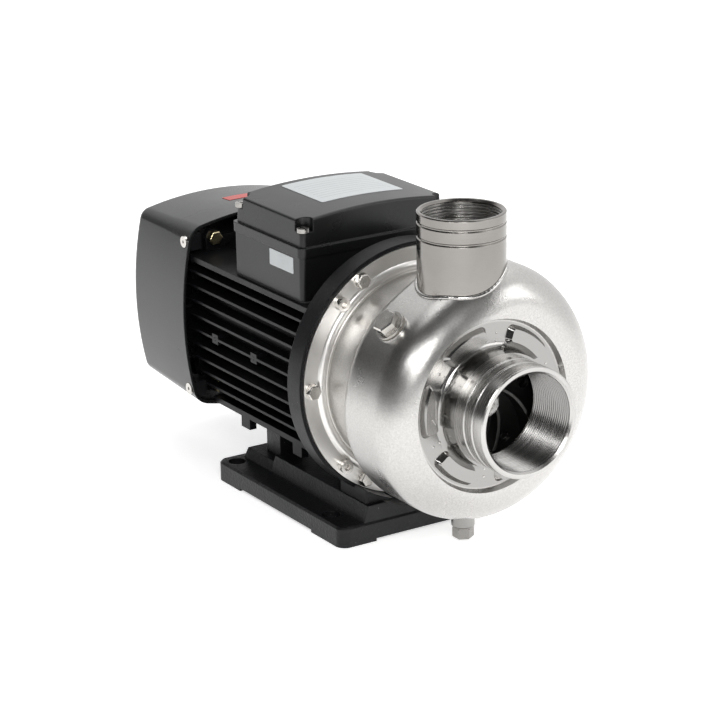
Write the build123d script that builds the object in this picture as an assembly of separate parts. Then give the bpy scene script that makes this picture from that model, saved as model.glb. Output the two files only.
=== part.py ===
from build123d import *
import os
from math import cos, degrees, exp, log, pi, radians, sin, sqrt, tan

os.makedirs("parts", exist_ok=True)

# Close-coupled booster pump: a pressed stainless volute casing on a cast bracket,
# an open impeller on the motor shaft, a finned motor and a cast base plate.
# Every piece is modelled about the shaft: x runs along the shaft from the casing
# flange towards the suction port, z points up and y = z = 0 is the shaft's axis.
# The last lines move it into the part's own frame, whose origin lies on the base's
# underside at the centre of the four bolt holes.
# All lengths are in millimetres and all angles in degrees.

# Stance
flange_x = 78.0
shaft_height = 120.0

# Volute casing, pressed from sheet
casing_wall = 2.0
flange_r = 95.5
neck_r = 76.0
volute_rear_x = 34.0
volute_front_x = 106.0
volute_small_r = 84.0
volute_rise = 18.3
volute_power = 0.75
volute_start_angle = 170.0
volute_end_angle = 425.0
tongue_angle = 120.0
volute_step_count = 24
front_shoulder_r = 28.0
rear_shoulder_r = 10.5
bead_r = 80.5
bead_half_width = 3.8
bead_height = 2.5
bead_groove_half_width = 1.7
seal_cord_r = 1.25

# Pressed face round the suction neck
recess_r = 65.0
recess_depth = 4.5
recess_slope = 2.0
pad_count = 6
pad_first_angle = 54.0
pad_half_angle = 20.5
pad_inner_r = 46.0
pad_outer_r = 60.5
pad_corner_r = 4.5
pad_draft = 30.0
suction_neck_r = 43.0
suction_neck_x = 118.0
suction_root_r = 5.0

# Suction collar, bored for a 2 1/2 inch pipe thread
suction_bore_r = 36.11
collar_r = 41.3
collar_start_x = 104.0
collar_end_x = 150.0
collar_groove_x = (128.0, 138.0)
collar_groove_width = 2.4
collar_groove_depth = 0.7
port_chamfer = 1.8
lip_chamfer = 0.8

# Discharge tube, bored for a 2 inch pipe thread
discharge_x = 66.5
discharge_r = 32.4
discharge_bore_r = 28.33
discharge_relief_r = 30.0
discharge_thread_length = 34.0
discharge_top_z = 137.6
discharge_groove_z = (119.3, 129.8)

# Priming and drain plugs
plug_clearance = 0.06
hex_chamfer = 0.06
priming_angle = 135.0
priming_boss_r = 12.0
priming_boss_height = 1.8
priming_thread_r = 6.58
priming_collar_r = 11.6
priming_collar_height = 1.6
priming_hex = 17.0
priming_hex_height = 7.0
priming_shank_length = 9.0
priming_washer_height = 1.2
drain_angle = 270.0
drain_boss_r = 8.75
drain_boss_height = 10.0
drain_thread_r = 4.86
drain_collar_r = 7.6
drain_collar_height = 1.2
drain_hex = 14.0
drain_hex_height = 8.0
drain_shank_length = 8.0
drain_washer_height = 0.8

# Flange screws
bolt_circle_r = 89.0
hex_screw_angles = (0.0, 60.0, 120.0, 180.0, 240.0, 300.0)
socket_screw_angles = (45.0, 135.0, 225.0, 315.0)
flange_screw_r = 3.0
flange_screw_length = 13.0
flange_hex = 10.0
flange_hex_height = 4.2
flange_washer_r = 6.0
flange_washer_height = 1.0
flange_dimple_r = 6.6
socket_head_r = 5.0
socket_head_height = 6.0
socket_size = 5.0
socket_depth = 3.0
hole_clearance = 0.3

# Casing cover and mechanical seal
cover_wall = 2.0
cover_rim_r = 84.0
cover_front_x = 78.0
cover_shell_r = 72.0
cover_shell_taper = 4.0
seal_well_r = 27.0
seal_well_x = 28.0
seal_cup_r = 21.5
seal_seat_r = 19.0
seal_seat_bore_r = 11.5
seal_seat_length = 8.0
seal_face_gap = 0.05
seal_head_r = 17.0
seal_head_length = 11.0
seal_spring_r = 14.5
seal_spring_wire_r = 1.3
seal_spring_turns = 4.0

# Impeller, open, with swept vanes
impeller_r = 72.0
impeller_back_x = 81.0
impeller_shroud = 4.0
impeller_hub_r = 17.0
impeller_nose_r = 12.5
impeller_hub_rear_x = 72.0
impeller_hub_front_x = 95.0
vane_count = 6
vane_root_r = 13.0
vane_root_angle = 36.6
vane_sweep = 56.0
vane_points = 6
vane_thickness = 3.0
vane_front_gap = 0.6
vane_eye_r = 37.0
vane_nose_r = 16.0
vane_eye_drop = 7.0
vane_tip_r = 64.0
vane_tip_drop = 2.5
balance_hole_r = 4.0
balance_hole_circle_r = 42.0
balance_hole_lead = 35.0
impeller_washer_r = 10.8
impeller_washer_height = 3.0
impeller_screw_r = 4.0
impeller_screw_length = 16.0
impeller_screw_head_r = 6.5
impeller_screw_head_height = 5.0
impeller_screw_socket = 6.0
impeller_key_width = 5.0
impeller_key_length = 14.0
impeller_key_setback = 3.0

# Motor bracket
ring_r = 98.5
ring_depth = 16.5
ring_lip_height = 0.6
ring_lip_gap = 0.7
bracket_bore_r = 74.0
bracket_floor_x = -10.0
bracket_back_x = -22.0
bracket_back_r = 72.0
bracket_hub_r = 33.0
bracket_hub_rear_x = -42.0
bracket_spigot_length = 4.0
bracket_spigot_wall = 4.0
bracket_web = 8.0
bracket_shaft_hole_r = 12.8
foot_half_width = 53.0
foot_front_x = 17.5
foot_rear_x = -20.0
foot_fillet = 2.0
frame_screw_r = 3.0
frame_screw_length = 30.0
frame_screw_head_height = 5.0

# Base plate
base_front_x = 22.8
base_rear_x = -161.8
base_half_width = 78.9
base_rim_height = 15.8
base_corner_r = 8.0
base_edge = 1.5
base_rear_pad_length = 36.0
base_front_pad_length = 43.0
base_pad_width = 31.0
base_relief = 2.2
base_hollow_height = 14.0
base_hollow_front_x = -40.0
bolt_hole_r = 7.0
bolt_spacing_x = 140.0
bolt_spacing_y = 136.0
front_platform_height = 28.4
front_platform_rear_x = -112.0
front_platform_front_x = 21.3
rear_platform_height = 23.0
rear_platform_rear_x = -154.0
platform_half_width = 54.0
platform_slope = 4.5
cradle_gap = 1.0
cradle_length = 20.0
base_screw_r = 4.0
base_screw_x = -8.0
base_screw_y = 44.0
base_screw_head_r = 6.5
base_screw_head_height = 6.5
base_screw_sink_r = 7.0
base_screw_sink = 19.0
base_screw_length = 18.0

# Rear support under the motor
support_x = -128.0
support_depth = 20.0
support_half_width = 46.0
support_arch_half_width = 24.0
support_arch_height = 14.0
support_screw_y = 35.0

# Motor frame, finned
frame_front_x = -22.0
frame_rear_x = -218.0
stator_r = 56.0
frame_wall = 5.0
frame_half_width = 69.8
fin_pitch = 12.0
fin_thickness = 2.2
frame_top_z = 51.0
fin_top_z = 50.6
fin_count = 9
fin_turn_z = -10.0
fin_curve_r = 110.0
deck_thickness = 4.6
ledge_bottom_z = -73.0
ledge_half_width = 54.0
ledge_rear_x = -205.5
web_half_width = 26.0
screw_rib_r = 5.8
screw_rib_y = 47.0
screw_rib_z = 44.6
lug_x = (-157.0, -79.0)
lug_length = 13.0
lug_width = 6.0
lug_height = 8.8
side_boss_x = (-173.7, -114.4)
side_boss_length = 9.0
side_boss_height = 8.0
side_boss_hole_r = 1.5
side_boss_hole_depth = 6.0
side_boss_fin = 5

# Stator and rotor
stack_front_x = -75.0
stack_rear_x = -165.0
stator_bore_r = 30.0
slot_count = 24
slot_depth = 13.0
slot_width = 3.4
end_turn_r = 52.0
end_turn_inner_r = 33.0
end_turn_length = 20.0
air_gap = 0.5
end_ring_length = 7.0
end_ring_inner_r = 19.0

# Shaft
shaft_seal_r = 10.0
shaft_impeller_r = 8.0
shaft_front_shoulder_r = 12.0
shaft_core_r = 14.0
shaft_rear_shoulder_r = 11.0
shaft_rear_bearing_r = 8.5
shaft_fan_r = 7.0
shaft_front_x = 94.0
shaft_rear_x = -270.0
shaft_core_overhang = 9.0
shaft_edge = 1.0

# Bearings
front_bearing_x = -26.0
front_bearing_r = 23.5
front_bearing_width = 14.0
front_ball_r = 3.97
rear_bearing_x = -205.0
rear_bearing_r = 20.0
rear_bearing_width = 12.0
rear_ball_r = 3.37
ball_count = 8
ball_play = 0.1
race_reach = 0.5
cage_half_thickness = 1.0

# Slinger on the shaft behind the seal
slinger_x = 8.0
slinger_r = 22.0
slinger_length = 7.0

# Rear shield
shield_rear_x = -226.0
shield_half_width = 60.0
shield_corner_r = 14.0
shield_wall = 4.0
shield_spigot_length = 4.0
shield_hub_r = 26.0
shield_hub_front_x = -200.0
shield_ear_front_x = -208.0
shield_ear_half_height = 6.5
ear_bolt_y = 47.0
ear_bolt_z = 61.5
ear_lug_front_x = -212.0
ear_lug_r = 6.5
ear_lug_rib = 14.5
ear_bolt_r = 3.0
ear_bolt_hex = 10.0
ear_bolt_head_height = 6.0
ear_bolt_length = 13.0
ear_bolt_room_r = 7.0
ear_bolt_room_length = 10.0

# Fan and its cover
fan_r = 62.0
fan_front_x = -236.0
fan_rear_x = -262.0
fan_plate = 2.5
fan_hub_r = 13.0
fan_blade_count = 8
fan_blade_thickness = 2.2
fan_blade_inner_r = 30.0
fan_clip_r = 10.0
fan_clip_height = 1.2
cover_rim_x = -207.0
cover_rear_x = -303.0
cover_half_width = 79.0
cover_half_height = 81.0
cover_corner_y = 69.5
cover_corner_z = 72.0
cover_corner_r = 16.0
cover_draft = 3.4
cover_rear_edge_r = 9.0
fan_cover_wall = 2.2
grille_hole_r = 3.5
grille_pitch = 12.0
grille_ring_count = 4
cover_screw_x = -214.0
cover_screw_z = 61.0
cover_screw_r = 2.5
cover_screw_head_r = 4.6
cover_screw_head_height = 2.4
cover_screw_length = 11.0
cover_screw_seat_y = 70.6

# Terminal box
box_rear_x = -144.5
box_front_x = -45.0
box_half_width = 66.5
box_gasket_height = 1.0
box_gasket_width = 6.0
box_top_z = 85.6
box_wall = 3.0
box_corner_r = 4.0
box_floor_z = 63.0
box_floor_thickness = 3.0
box_boss_r = 6.0
box_boss_inset = 14.0
box_screw_r = 2.5
box_screw_head_r = 4.5
box_screw_head_height = 3.5
box_screw_depth = 4.0
lid_overhang = 1.3
lid_rim_height = 7.6
lid_shoulder = 2.4
lid_corner_z = 112.9
lid_arch = 5.0
lid_draft = 3.0
lid_edge_r = 2.0
lid_wall = 3.0
lid_pocket_r = 7.5
lid_pocket_inset = 4.6
lid_pocket_floor_z = 104.5
lid_screw_r = 2.4
lid_screw_head_r = 4.6
lid_screw_head_height = 3.2
lid_screw_length = 30.0
lid_post_r = 6.0
capacitor_r = 20.0
capacitor_half_length = 42.0
capacitor_edge = 1.0
capacitor_x = -76.0
clamp_width = 12.0
clamp_thickness = 1.2
clamp_foot = 5.0
terminal_block_x = -118.0
terminal_block_depth = 22.0
terminal_block_half_length = 30.0
terminal_block_height = 12.0
terminal_channel_depth = 4.0
terminal_channel_width = 14.0
terminal_wall = 2.0
terminal_count = 6
stud_r = 2.0
stud_height = 8.0
stud_nut = 7.0
stud_nut_height = 3.0

# Cable gland
gland_x = -118.0
gland_z = 74.0
gland_thread_r = 6.8
gland_hex = 19.0
gland_hex_height = 4.0
gland_barrel_r = 7.6
gland_barrel_length = 12.0
gland_nut_length = 10.0
gland_nut_travel = 2.0
gland_seal_stand = 1.0
gland_cable_r = 4.5
gland_seal_r = 6.2
gland_nut_wall = 1.6


def disc(radius, x0, x1, y=0.0, z=0.0):
    """Round bar along the shaft's direction from x0 to x1."""
    return extrude(Plane.YZ.offset(x0) * Pos(y, z) * Circle(radius), amount=x1 - x0)


def ring(outer, inner, x0, x1):
    """Round tube along the shaft from x0 to x1."""
    return disc(outer, x0, x1) - disc(inner, x0, x1)


def turned(*points):
    """Solid turned about the shaft from (x, radius) points."""
    return revolve(make_face(Polyline(*points, close=True)), axis=Axis.X)


def hexagon(across, x0, x1, y=0.0, z=0.0, turn=0.0):
    """Hexagonal bar along the shaft's direction."""
    outline = Rot(0, 0, turn) * RegularPolygon(across / 2, 6, major_radius=False)
    return extrude(Plane.YZ.offset(x0) * Pos(y, z) * outline, amount=x1 - x0)


def block(x0, x1, y0, y1, z0, z1):
    """Box between two corners."""
    return Pos((x0 + x1) / 2, (y0 + y1) / 2, (z0 + z1) / 2) * Box(x1 - x0, y1 - y0, z1 - z0)


def slab(x0, x1, half_width, z0, z1):
    """Box centred across the shaft."""
    return block(x0, x1, -half_width, half_width, z0, z1)


def side_block(x0, x1, side, y0, y1, z0, z1):
    """Box on one side of the shaft, between two distances from the middle."""
    near, far = sorted((side * y0, side * y1))
    return block(x0, x1, near, far, z0, z1)


def side_bar(radius, x, side, y0, y1, z):
    """Round bar across the shaft on one side, between two distances from the middle."""
    start = Plane((x, side * y0, z), x_dir=(1, 0, 0), z_dir=(0, side, 0))
    return extrude(start * Circle(radius), amount=y1 - y0)


def upright(radius, x, y, z0, z1):
    """Round bar that stands upright."""
    return extrude(Plane.XY.offset(z0) * Pos(x, y) * Circle(radius), amount=z1 - z0)


def polar(radius, angle):
    """Point (y, z) at an angle from +y towards +z."""
    return radius * cos(radians(angle)), radius * sin(radians(angle))


def corners(y, z):
    """The four points (y, z) mirrored about the shaft."""
    return [(side * y, level * z) for side in (-1, 1) for level in (-1, 1)]


def group(bodies):
    """Separate solids that share one node."""
    return Compound([solid for body in bodies for solid in body.solids()])


def outward(angle, x=0.0):
    """Location whose local x axis points outwards from the shaft at an angle."""
    return Location((x, 0, 0)) * Rot(angle, 0, 0) * Rot(0, 0, 90)


def socket_screw(radius, length, head_r, head_height, across, head_x, y=0.0, z=0.0):
    """Socket-head screw along x whose head stands on head_x."""
    top_x = head_x + head_height
    body = disc(radius, head_x - length, head_x, y, z) + disc(head_r, head_x, top_x, y, z)
    return body - hexagon(across, top_x - socket_depth, top_x + 1, y, z)


# Volute casing

def volute_radius(angle):
    """Outer radius of the volute at an angle, growing round from the tongue."""
    around = angle if angle >= tongue_angle else angle + 360
    if around <= volute_start_angle:
        return volute_small_r
    if around <= volute_end_angle:
        share = (around - volute_start_angle) / (volute_end_angle - volute_start_angle)
        return volute_small_r + volute_rise * share**volute_power
    share = (around - volute_end_angle) / (tongue_angle + 360 - volute_end_angle)
    return volute_small_r + volute_rise * (1 - share * share * (3 - 2 * share))


def volute_block(inset):
    """Volute as a solid, drawn in from its outer skin by inset."""
    angles = [360 / volute_step_count * i for i in range(volute_step_count)]
    points = [polar(volute_radius(angle) - inset, angle) for angle in angles]
    outline = make_face(Spline(*points, periodic=True))
    length = volute_front_x - volute_rear_x - 2 * inset
    body = extrude(Plane.YZ.offset(volute_rear_x + inset) * outline, amount=length)
    body = fillet(body.edges().group_by(Axis.X)[-1], front_shoulder_r - inset)
    return fillet(body.edges().group_by(Axis.X)[0], rear_shoulder_r - inset)


def pad_outline(angle, x, inset):
    """Rounded outline of one raised pad, drawn in by inset."""
    half = pad_half_angle - degrees(inset / pad_inner_r)
    inner = pad_inner_r + inset
    outer = pad_outer_r - inset
    edges = Line(polar(inner, -half), polar(outer, -half))
    edges += ThreePointArc(polar(outer, -half), (outer, 0), polar(outer, half))
    edges += Line(polar(outer, half), polar(inner, half))
    edges += ThreePointArc(polar(inner, half), (inner, 0), polar(inner, -half))
    outline = make_face(edges)
    outline = fillet(outline.vertices(), pad_corner_r - inset)
    return Plane.YZ.offset(x) * Rot(0, 0, angle) * outline


def pad(angle, floor_x, inset):
    """One raised pad of the pressed face, with drafted walls."""
    shrink = recess_depth * tan(radians(pad_draft))
    low = pad_outline(angle, floor_x, inset)
    return loft([low, pad_outline(angle, floor_x + recess_depth, inset + shrink)])


def pads(floor_x, inset):
    """The pads all round the suction neck."""
    return [pad(pad_first_angle + 360 / pad_count * i, floor_x, inset) for i in range(pad_count)]


recess_floor_x = volute_front_x - recess_depth
neck_bore_r = suction_neck_r - casing_wall
volute_skin = volute_block(0)


def recess_tool():
    """What the press takes from the front face between its shoulder and the neck."""
    above = volute_front_x + 1
    tool = turned((recess_floor_x, suction_neck_r), (recess_floor_x, recess_r - recess_slope),
                  (volute_front_x, recess_r), (above, recess_r), (above, suction_neck_r))
    for raised in pads(recess_floor_x, 0):
        tool -= raised
    return tool


def suction_neck():
    """Drawn neck that holds the suction collar, with its curved root."""
    inner_x = recess_floor_x - casing_wall
    root_x = recess_floor_x + suction_root_r
    root_r = suction_neck_r + suction_root_r
    bend = suction_root_r * (1 - cos(pi / 4))
    edges = Line((inner_x, neck_bore_r), (suction_neck_x, neck_bore_r))
    edges += Line((suction_neck_x, neck_bore_r), (suction_neck_x, suction_neck_r))
    edges += Line((suction_neck_x, suction_neck_r), (root_x, suction_neck_r))
    edges += ThreePointArc((root_x, suction_neck_r), (recess_floor_x + bend, suction_neck_r + bend),
                           (recess_floor_x, root_r))
    edges += Line((recess_floor_x, root_r), (inner_x, root_r))
    edges += Line((inner_x, root_r), (inner_x, neck_bore_r))
    return revolve(make_face(edges), axis=Axis.X)


def bead(half_width, height, base_x):
    """Rounded ring about the shaft, for the flange's bead and the groove under it."""
    start = (base_x, bead_r - half_width)
    end = (base_x, bead_r + half_width)
    edges = ThreePointArc(start, (base_x + height, bead_r), end)
    edges += Line(end, start)
    return revolve(make_face(edges), axis=Axis.X)


def volute_cavity():
    """Space inside the casing, one wall in from its skin."""
    inner_x = recess_floor_x - casing_wall
    cavity = volute_block(casing_wall)
    cavity -= disc(recess_r + casing_wall, inner_x, volute_front_x)
    for hollow in pads(inner_x, casing_wall / 2):
        cavity += hollow
    return cavity + disc(neck_r - casing_wall, -1, volute_rear_x + 2 * casing_wall)


def pump_casing():
    """Pressed casing: flange, bead, neck, volute, recessed face with pads, suction neck."""
    body = disc(flange_r, 0, casing_wall)
    body += bead(bead_half_width, bead_height, casing_wall)
    body += disc(neck_r, 0, volute_rear_x + casing_wall)
    body += volute_skin
    body -= recess_tool()
    body -= volute_cavity()
    body += suction_neck()
    body -= disc(neck_bore_r, recess_floor_x - 2 * casing_wall, suction_neck_x + 1)
    body -= bead(bead_groove_half_width, 2 * seal_cord_r, 0)
    body -= upright(discharge_relief_r, discharge_x, 0, volute_small_r / 2, discharge_top_z)
    body -= priming_place * disc(priming_thread_r, volute_small_r / 2, flange_r)
    body -= drain_place * disc(drain_thread_r, volute_small_r / 2, drain_seat)
    above = casing_wall + 2 * bead_height
    for angle in hex_screw_angles:
        body -= disc(flange_dimple_r, casing_wall, above, *polar(bolt_circle_r, angle))
    for angle in socket_screw_angles:
        body -= disc(socket_head_r + hole_clearance, casing_wall, above, *polar(bolt_circle_r, angle))
    for angle in hex_screw_angles + socket_screw_angles:
        body -= disc(flange_screw_r + hole_clearance, -1, above, *polar(bolt_circle_r, angle))
    return body


def groove(outer, at):
    """Rolled groove round a collar, with sloping sides."""
    half = collar_groove_width / 2
    deep = outer - collar_groove_depth
    return turned((at - half, outer + 1), (at - half, outer), (at - half / 3, deep),
                  (at + half / 3, deep), (at + half, outer), (at + half, outer + 1))


def suction_collar():
    """Turned collar with the suction bore, pushed into the drawn neck."""
    body = turned(
        (collar_start_x, suction_bore_r), (collar_start_x, neck_bore_r),
        (suction_neck_x, neck_bore_r), (suction_neck_x, collar_r),
        (collar_end_x - lip_chamfer, collar_r), (collar_end_x, collar_r - lip_chamfer),
        (collar_end_x, suction_bore_r + port_chamfer), (collar_end_x - port_chamfer, suction_bore_r),
    )
    for at in collar_groove_x:
        body -= groove(collar_r, at)
    return body


def discharge_tube():
    """Upright tube with the discharge bore, its foot shaped to the volute."""
    thread_end = discharge_top_z - discharge_thread_length
    relief_end = thread_end - (discharge_relief_r - discharge_bore_r)
    body = turned(
        (volute_small_r / 2, discharge_relief_r), (volute_small_r / 2, discharge_r),
        (discharge_top_z - lip_chamfer, discharge_r), (discharge_top_z, discharge_r - lip_chamfer),
        (discharge_top_z, discharge_bore_r + port_chamfer),
        (discharge_top_z - port_chamfer, discharge_bore_r),
        (thread_end, discharge_bore_r), (relief_end, discharge_relief_r),
    )
    for at in discharge_groove_z:
        body -= groove(discharge_r, at)
    return Location((discharge_x, 0, 0)) * Rot(0, -90, 0) * body - volute_skin


# Plugs and their bosses

priming_place = outward(priming_angle, discharge_x)
drain_place = outward(drain_angle, discharge_x)
priming_seat = volute_radius(priming_angle) + priming_boss_height + priming_washer_height
drain_seat = volute_radius(drain_angle) + drain_boss_height + drain_washer_height


def boss(radius, thread_r, top, place):
    """Welded boss on the volute's skin, bored for its plug."""
    return place * ring(radius, thread_r, volute_small_r / 2, top) - volute_skin


def plug(thread_r, shank, collar, collar_height, across, hex_height, seat):
    """Hexagon plug along x with its shank below the seat."""
    top = seat + collar_height
    head = hexagon(across, top, top + hex_height)
    head = chamfer(head.edges().group_by(Axis.X)[-1], hex_chamfer * across)
    return disc(thread_r - plug_clearance, seat - shank, seat) + disc(collar, seat, top) + head


def priming_boss():
    """Boss of the priming plug on the upper side of the volute."""
    return boss(priming_boss_r, priming_thread_r, priming_seat - priming_washer_height, priming_place)


def priming_plug():
    """Hexagon plug of the filling hole."""
    return priming_place * plug(priming_thread_r, priming_shank_length, priming_collar_r,
                                priming_collar_height, priming_hex, priming_hex_height, priming_seat)


def priming_washer():
    """Sealing washer under the priming plug."""
    return priming_place * ring(priming_collar_r, priming_thread_r, priming_seat - priming_washer_height,
                                priming_seat)


def drain_boss():
    """Boss of the drain plug at the lowest point of the volute."""
    return boss(drain_boss_r, drain_thread_r, drain_seat - drain_washer_height, drain_place)


def drain_plug():
    """Hexagon plug of the drain hole."""
    return drain_place * plug(drain_thread_r, drain_shank_length, drain_collar_r,
                              drain_collar_height, drain_hex, drain_hex_height, drain_seat)


def drain_washer():
    """Sealing washer under the drain plug."""
    return drain_place * ring(drain_collar_r, drain_thread_r, drain_seat - drain_washer_height, drain_seat)


# Flange screws and seal cord

def seal_cord():
    """Round rubber ring in the groove behind the flange's bead."""
    return revolve(Pos(seal_cord_r, bead_r) * Circle(seal_cord_r), axis=Axis.X)


def hex_screw(angle):
    """One hexagon screw of the casing flange, its head on a washer."""
    y, z = polar(bolt_circle_r, angle)
    seat = casing_wall + flange_washer_height
    head = hexagon(flange_hex, seat, seat + flange_hex_height, y, z, angle)
    head = chamfer(head.edges().group_by(Axis.X)[-1], hex_chamfer * flange_hex)
    return head + disc(flange_screw_r, seat - flange_screw_length, seat, y, z)


def flange_washer(angle):
    """Washer under one hexagon screw."""
    y, z = polar(bolt_circle_r, angle)
    seat = casing_wall + flange_washer_height
    return disc(flange_washer_r, casing_wall, seat, y, z) - disc(flange_screw_r, casing_wall, seat, y, z)


def flange_socket_screw(angle):
    """One socket-head screw of the casing flange."""
    return socket_screw(flange_screw_r, flange_screw_length, socket_head_r, socket_head_height,
                        socket_size, casing_wall, *polar(bolt_circle_r, angle))


# Casing cover and mechanical seal

seal_face_x = seal_well_x + seal_seat_length
seal_head_rear_x = seal_face_x + seal_face_gap
seal_head_front_x = seal_head_rear_x + seal_head_length


def casing_cover():
    """Dished cover behind the impeller with the seal chamber at its middle."""
    wall = cover_wall
    front_r = cover_shell_r - cover_shell_taper
    cup_x = seal_face_x - wall
    return turned(
        (-wall, cover_shell_r - wall), (-wall, cover_rim_r), (0, cover_rim_r), (0, cover_shell_r),
        (cover_front_x, front_r), (cover_front_x, seal_well_r), (seal_well_x, seal_well_r),
        (seal_well_x, seal_cup_r), (cup_x, seal_cup_r), (cup_x, seal_seat_r), (seal_well_x, seal_seat_r),
        (seal_well_x, seal_seat_bore_r), (seal_well_x - wall, seal_seat_bore_r),
        (seal_well_x - wall, seal_well_r + wall), (cover_front_x - wall, seal_well_r + wall),
        (cover_front_x - wall, front_r - wall),
    )


def seal_seat():
    """Stationary ring of the mechanical seal."""
    return ring(seal_seat_r, seal_seat_bore_r, seal_well_x, seal_face_x)


def seal_head():
    """Turning ring of the mechanical seal, stepped towards its face."""
    step_x = seal_head_rear_x + seal_head_length / 3
    face_r = (seal_head_r + shaft_seal_r) / 2 + 1
    return turned((seal_head_rear_x, shaft_seal_r), (seal_head_rear_x, face_r), (step_x, face_r),
                  (step_x, seal_head_r), (seal_head_front_x, seal_head_r), (seal_head_front_x, shaft_seal_r))


def seal_spring():
    """Coil spring between the seal's turning ring and the impeller hub."""
    height = impeller_hub_rear_x - seal_head_front_x - 2 * seal_spring_wire_r
    coil = Helix(pitch=height / seal_spring_turns, height=height, radius=seal_spring_r)
    wire = sweep(Plane(origin=coil @ 0, z_dir=coil % 0) * Circle(seal_spring_wire_r), path=coil)
    return Location((seal_head_front_x + seal_spring_wire_r, 0, 0)) * Rot(0, 90, 0) * wire


# Impeller

vane_front_x = recess_floor_x - casing_wall - vane_front_gap
key_front_x = impeller_hub_front_x - impeller_key_setback
key_rear_x = key_front_x - impeller_key_length


def vane_angle(radius):
    """Angle of a vane's middle line at a radius, trailing the rotation."""
    return vane_root_angle - vane_sweep * log(radius / vane_root_r)


def vane_side(side):
    """Points along one side of the first vane, from the hub to the rim."""
    growth = log(impeller_r / vane_root_r) / (vane_points - 1)
    radii = [vane_root_r * exp(growth * i) for i in range(vane_points)]
    return [polar(r, vane_angle(r) + side * degrees(vane_thickness / 2 / r)) for r in radii]


def vane():
    """The first swept vane, cut back at the eye and bevelled towards the rim."""
    low = vane_side(-1)
    high = vane_side(1)
    edges = Spline(*low) + Line(low[-1], high[-1])
    edges += Spline(*reversed(high)) + Line(high[0], low[0])
    rear_x = impeller_back_x + impeller_shroud / 2
    body = extrude(Plane.YZ.offset(rear_x) * make_face(edges), amount=vane_front_x - rear_x)
    eye_x = vane_front_x - vane_eye_drop
    tip_x = vane_front_x - vane_tip_drop
    body -= turned((eye_x, 0), (eye_x, vane_nose_r), (vane_front_x, vane_eye_r),
                   (vane_front_x + 1, vane_eye_r), (vane_front_x + 1, 0))
    return body - turned((vane_front_x, vane_tip_r), (tip_x, impeller_r), (tip_x, impeller_r + 1),
                         (vane_front_x + 1, impeller_r + 1), (vane_front_x + 1, vane_tip_r))


def keyway(front_x):
    """Space of the impeller's key, half in the shaft and half in the hub."""
    half = impeller_key_width / 2
    return block(key_rear_x, front_x, -half, half, shaft_impeller_r - half, shaft_impeller_r + half)


def impeller():
    """Open impeller: back plate, hub with nose, swept vanes and balance holes."""
    shroud_x = impeller_back_x + impeller_shroud
    body = turned(
        (impeller_hub_rear_x, 0), (impeller_hub_rear_x, impeller_hub_r), (impeller_back_x, impeller_hub_r),
        (impeller_back_x, impeller_r), (shroud_x, impeller_r), (shroud_x, impeller_hub_r),
        (impeller_hub_front_x, impeller_nose_r), (impeller_hub_front_x, 0),
    )
    swept = vane()
    for index in range(vane_count):
        body += Rot(360 / vane_count * index, 0, 0) * swept
    for index in range(vane_count):
        angle = vane_angle(balance_hole_circle_r) + balance_hole_lead + 360 / vane_count * index
        body -= disc(balance_hole_r, impeller_back_x - 1, shroud_x + 1, *polar(balance_hole_circle_r, angle))
    body -= disc(shaft_impeller_r, impeller_hub_rear_x - 1, impeller_hub_front_x + 1)
    return body - keyway(impeller_hub_front_x + 1)


def impeller_key():
    """Key that turns the impeller with the shaft."""
    return keyway(key_front_x)


def impeller_washer():
    """Thick washer that clamps the impeller's nose."""
    front = impeller_hub_front_x + impeller_washer_height
    edge = impeller_washer_height / 4
    return turned((impeller_hub_front_x, impeller_screw_r), (impeller_hub_front_x, impeller_washer_r),
                  (front - edge, impeller_washer_r), (front, impeller_washer_r - edge),
                  (front, impeller_screw_r))


def impeller_screw():
    """Socket-head screw in the shaft's end that holds the impeller."""
    return socket_screw(impeller_screw_r, impeller_screw_length, impeller_screw_head_r,
                        impeller_screw_head_height, impeller_screw_socket,
                        impeller_hub_front_x + impeller_washer_height)


# Motor bracket

foot_z = front_platform_height - shaft_height
rim_seat_r = cover_rim_r + hole_clearance
lip_seat_r = flange_r + ring_lip_gap


def foot_block():
    """Foot of the bracket, cut out for the casing flange and the cover's rim."""
    body = slab(foot_rear_x, foot_front_x, foot_half_width, foot_z, -bracket_back_r)
    body = fillet(body.edges().filter_by(Axis.Z), foot_fillet)
    body -= disc(rim_seat_r, bracket_floor_x, foot_front_x + 1)
    return body - disc(lip_seat_r, 0, foot_front_x + 1)


def motor_bracket():
    """Cast ring between pump and motor with the front bearing's hub and the foot."""
    spigot_x = bracket_back_x - bracket_spigot_length
    web_x = bracket_back_x + bracket_web
    body = turned(
        (bracket_floor_x, bracket_shaft_hole_r), (bracket_floor_x, bracket_bore_r),
        (-cover_wall, bracket_bore_r), (-cover_wall, rim_seat_r), (0, rim_seat_r), (0, lip_seat_r),
        (ring_lip_height, lip_seat_r), (ring_lip_height, ring_r), (-ring_depth, ring_r),
        (-ring_depth, bracket_back_r), (bracket_back_x, bracket_back_r), (bracket_back_x, stator_r),
        (spigot_x, stator_r), (spigot_x, stator_r - bracket_spigot_wall),
        (web_x, stator_r - bracket_spigot_wall), (web_x, bracket_hub_r), (bracket_hub_rear_x, bracket_hub_r),
        (bracket_hub_rear_x, front_bearing_r), (front_bearing_x, front_bearing_r),
        (front_bearing_x, bracket_shaft_hole_r),
    )
    body += foot_block()
    for angle in hex_screw_angles + socket_screw_angles:
        body -= disc(flange_screw_r, casing_wall - flange_screw_length, 1, *polar(bolt_circle_r, angle))
    for y, z in corners(screw_rib_y, screw_rib_z):
        body -= disc(frame_screw_r, bracket_back_x - 1, bracket_floor_x + 1, y, z)
    for side in (-1, 1):
        body -= upright(base_screw_r, base_screw_x, side * base_screw_y, foot_z - 1, base_screw_tip_z)
    return body


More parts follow.
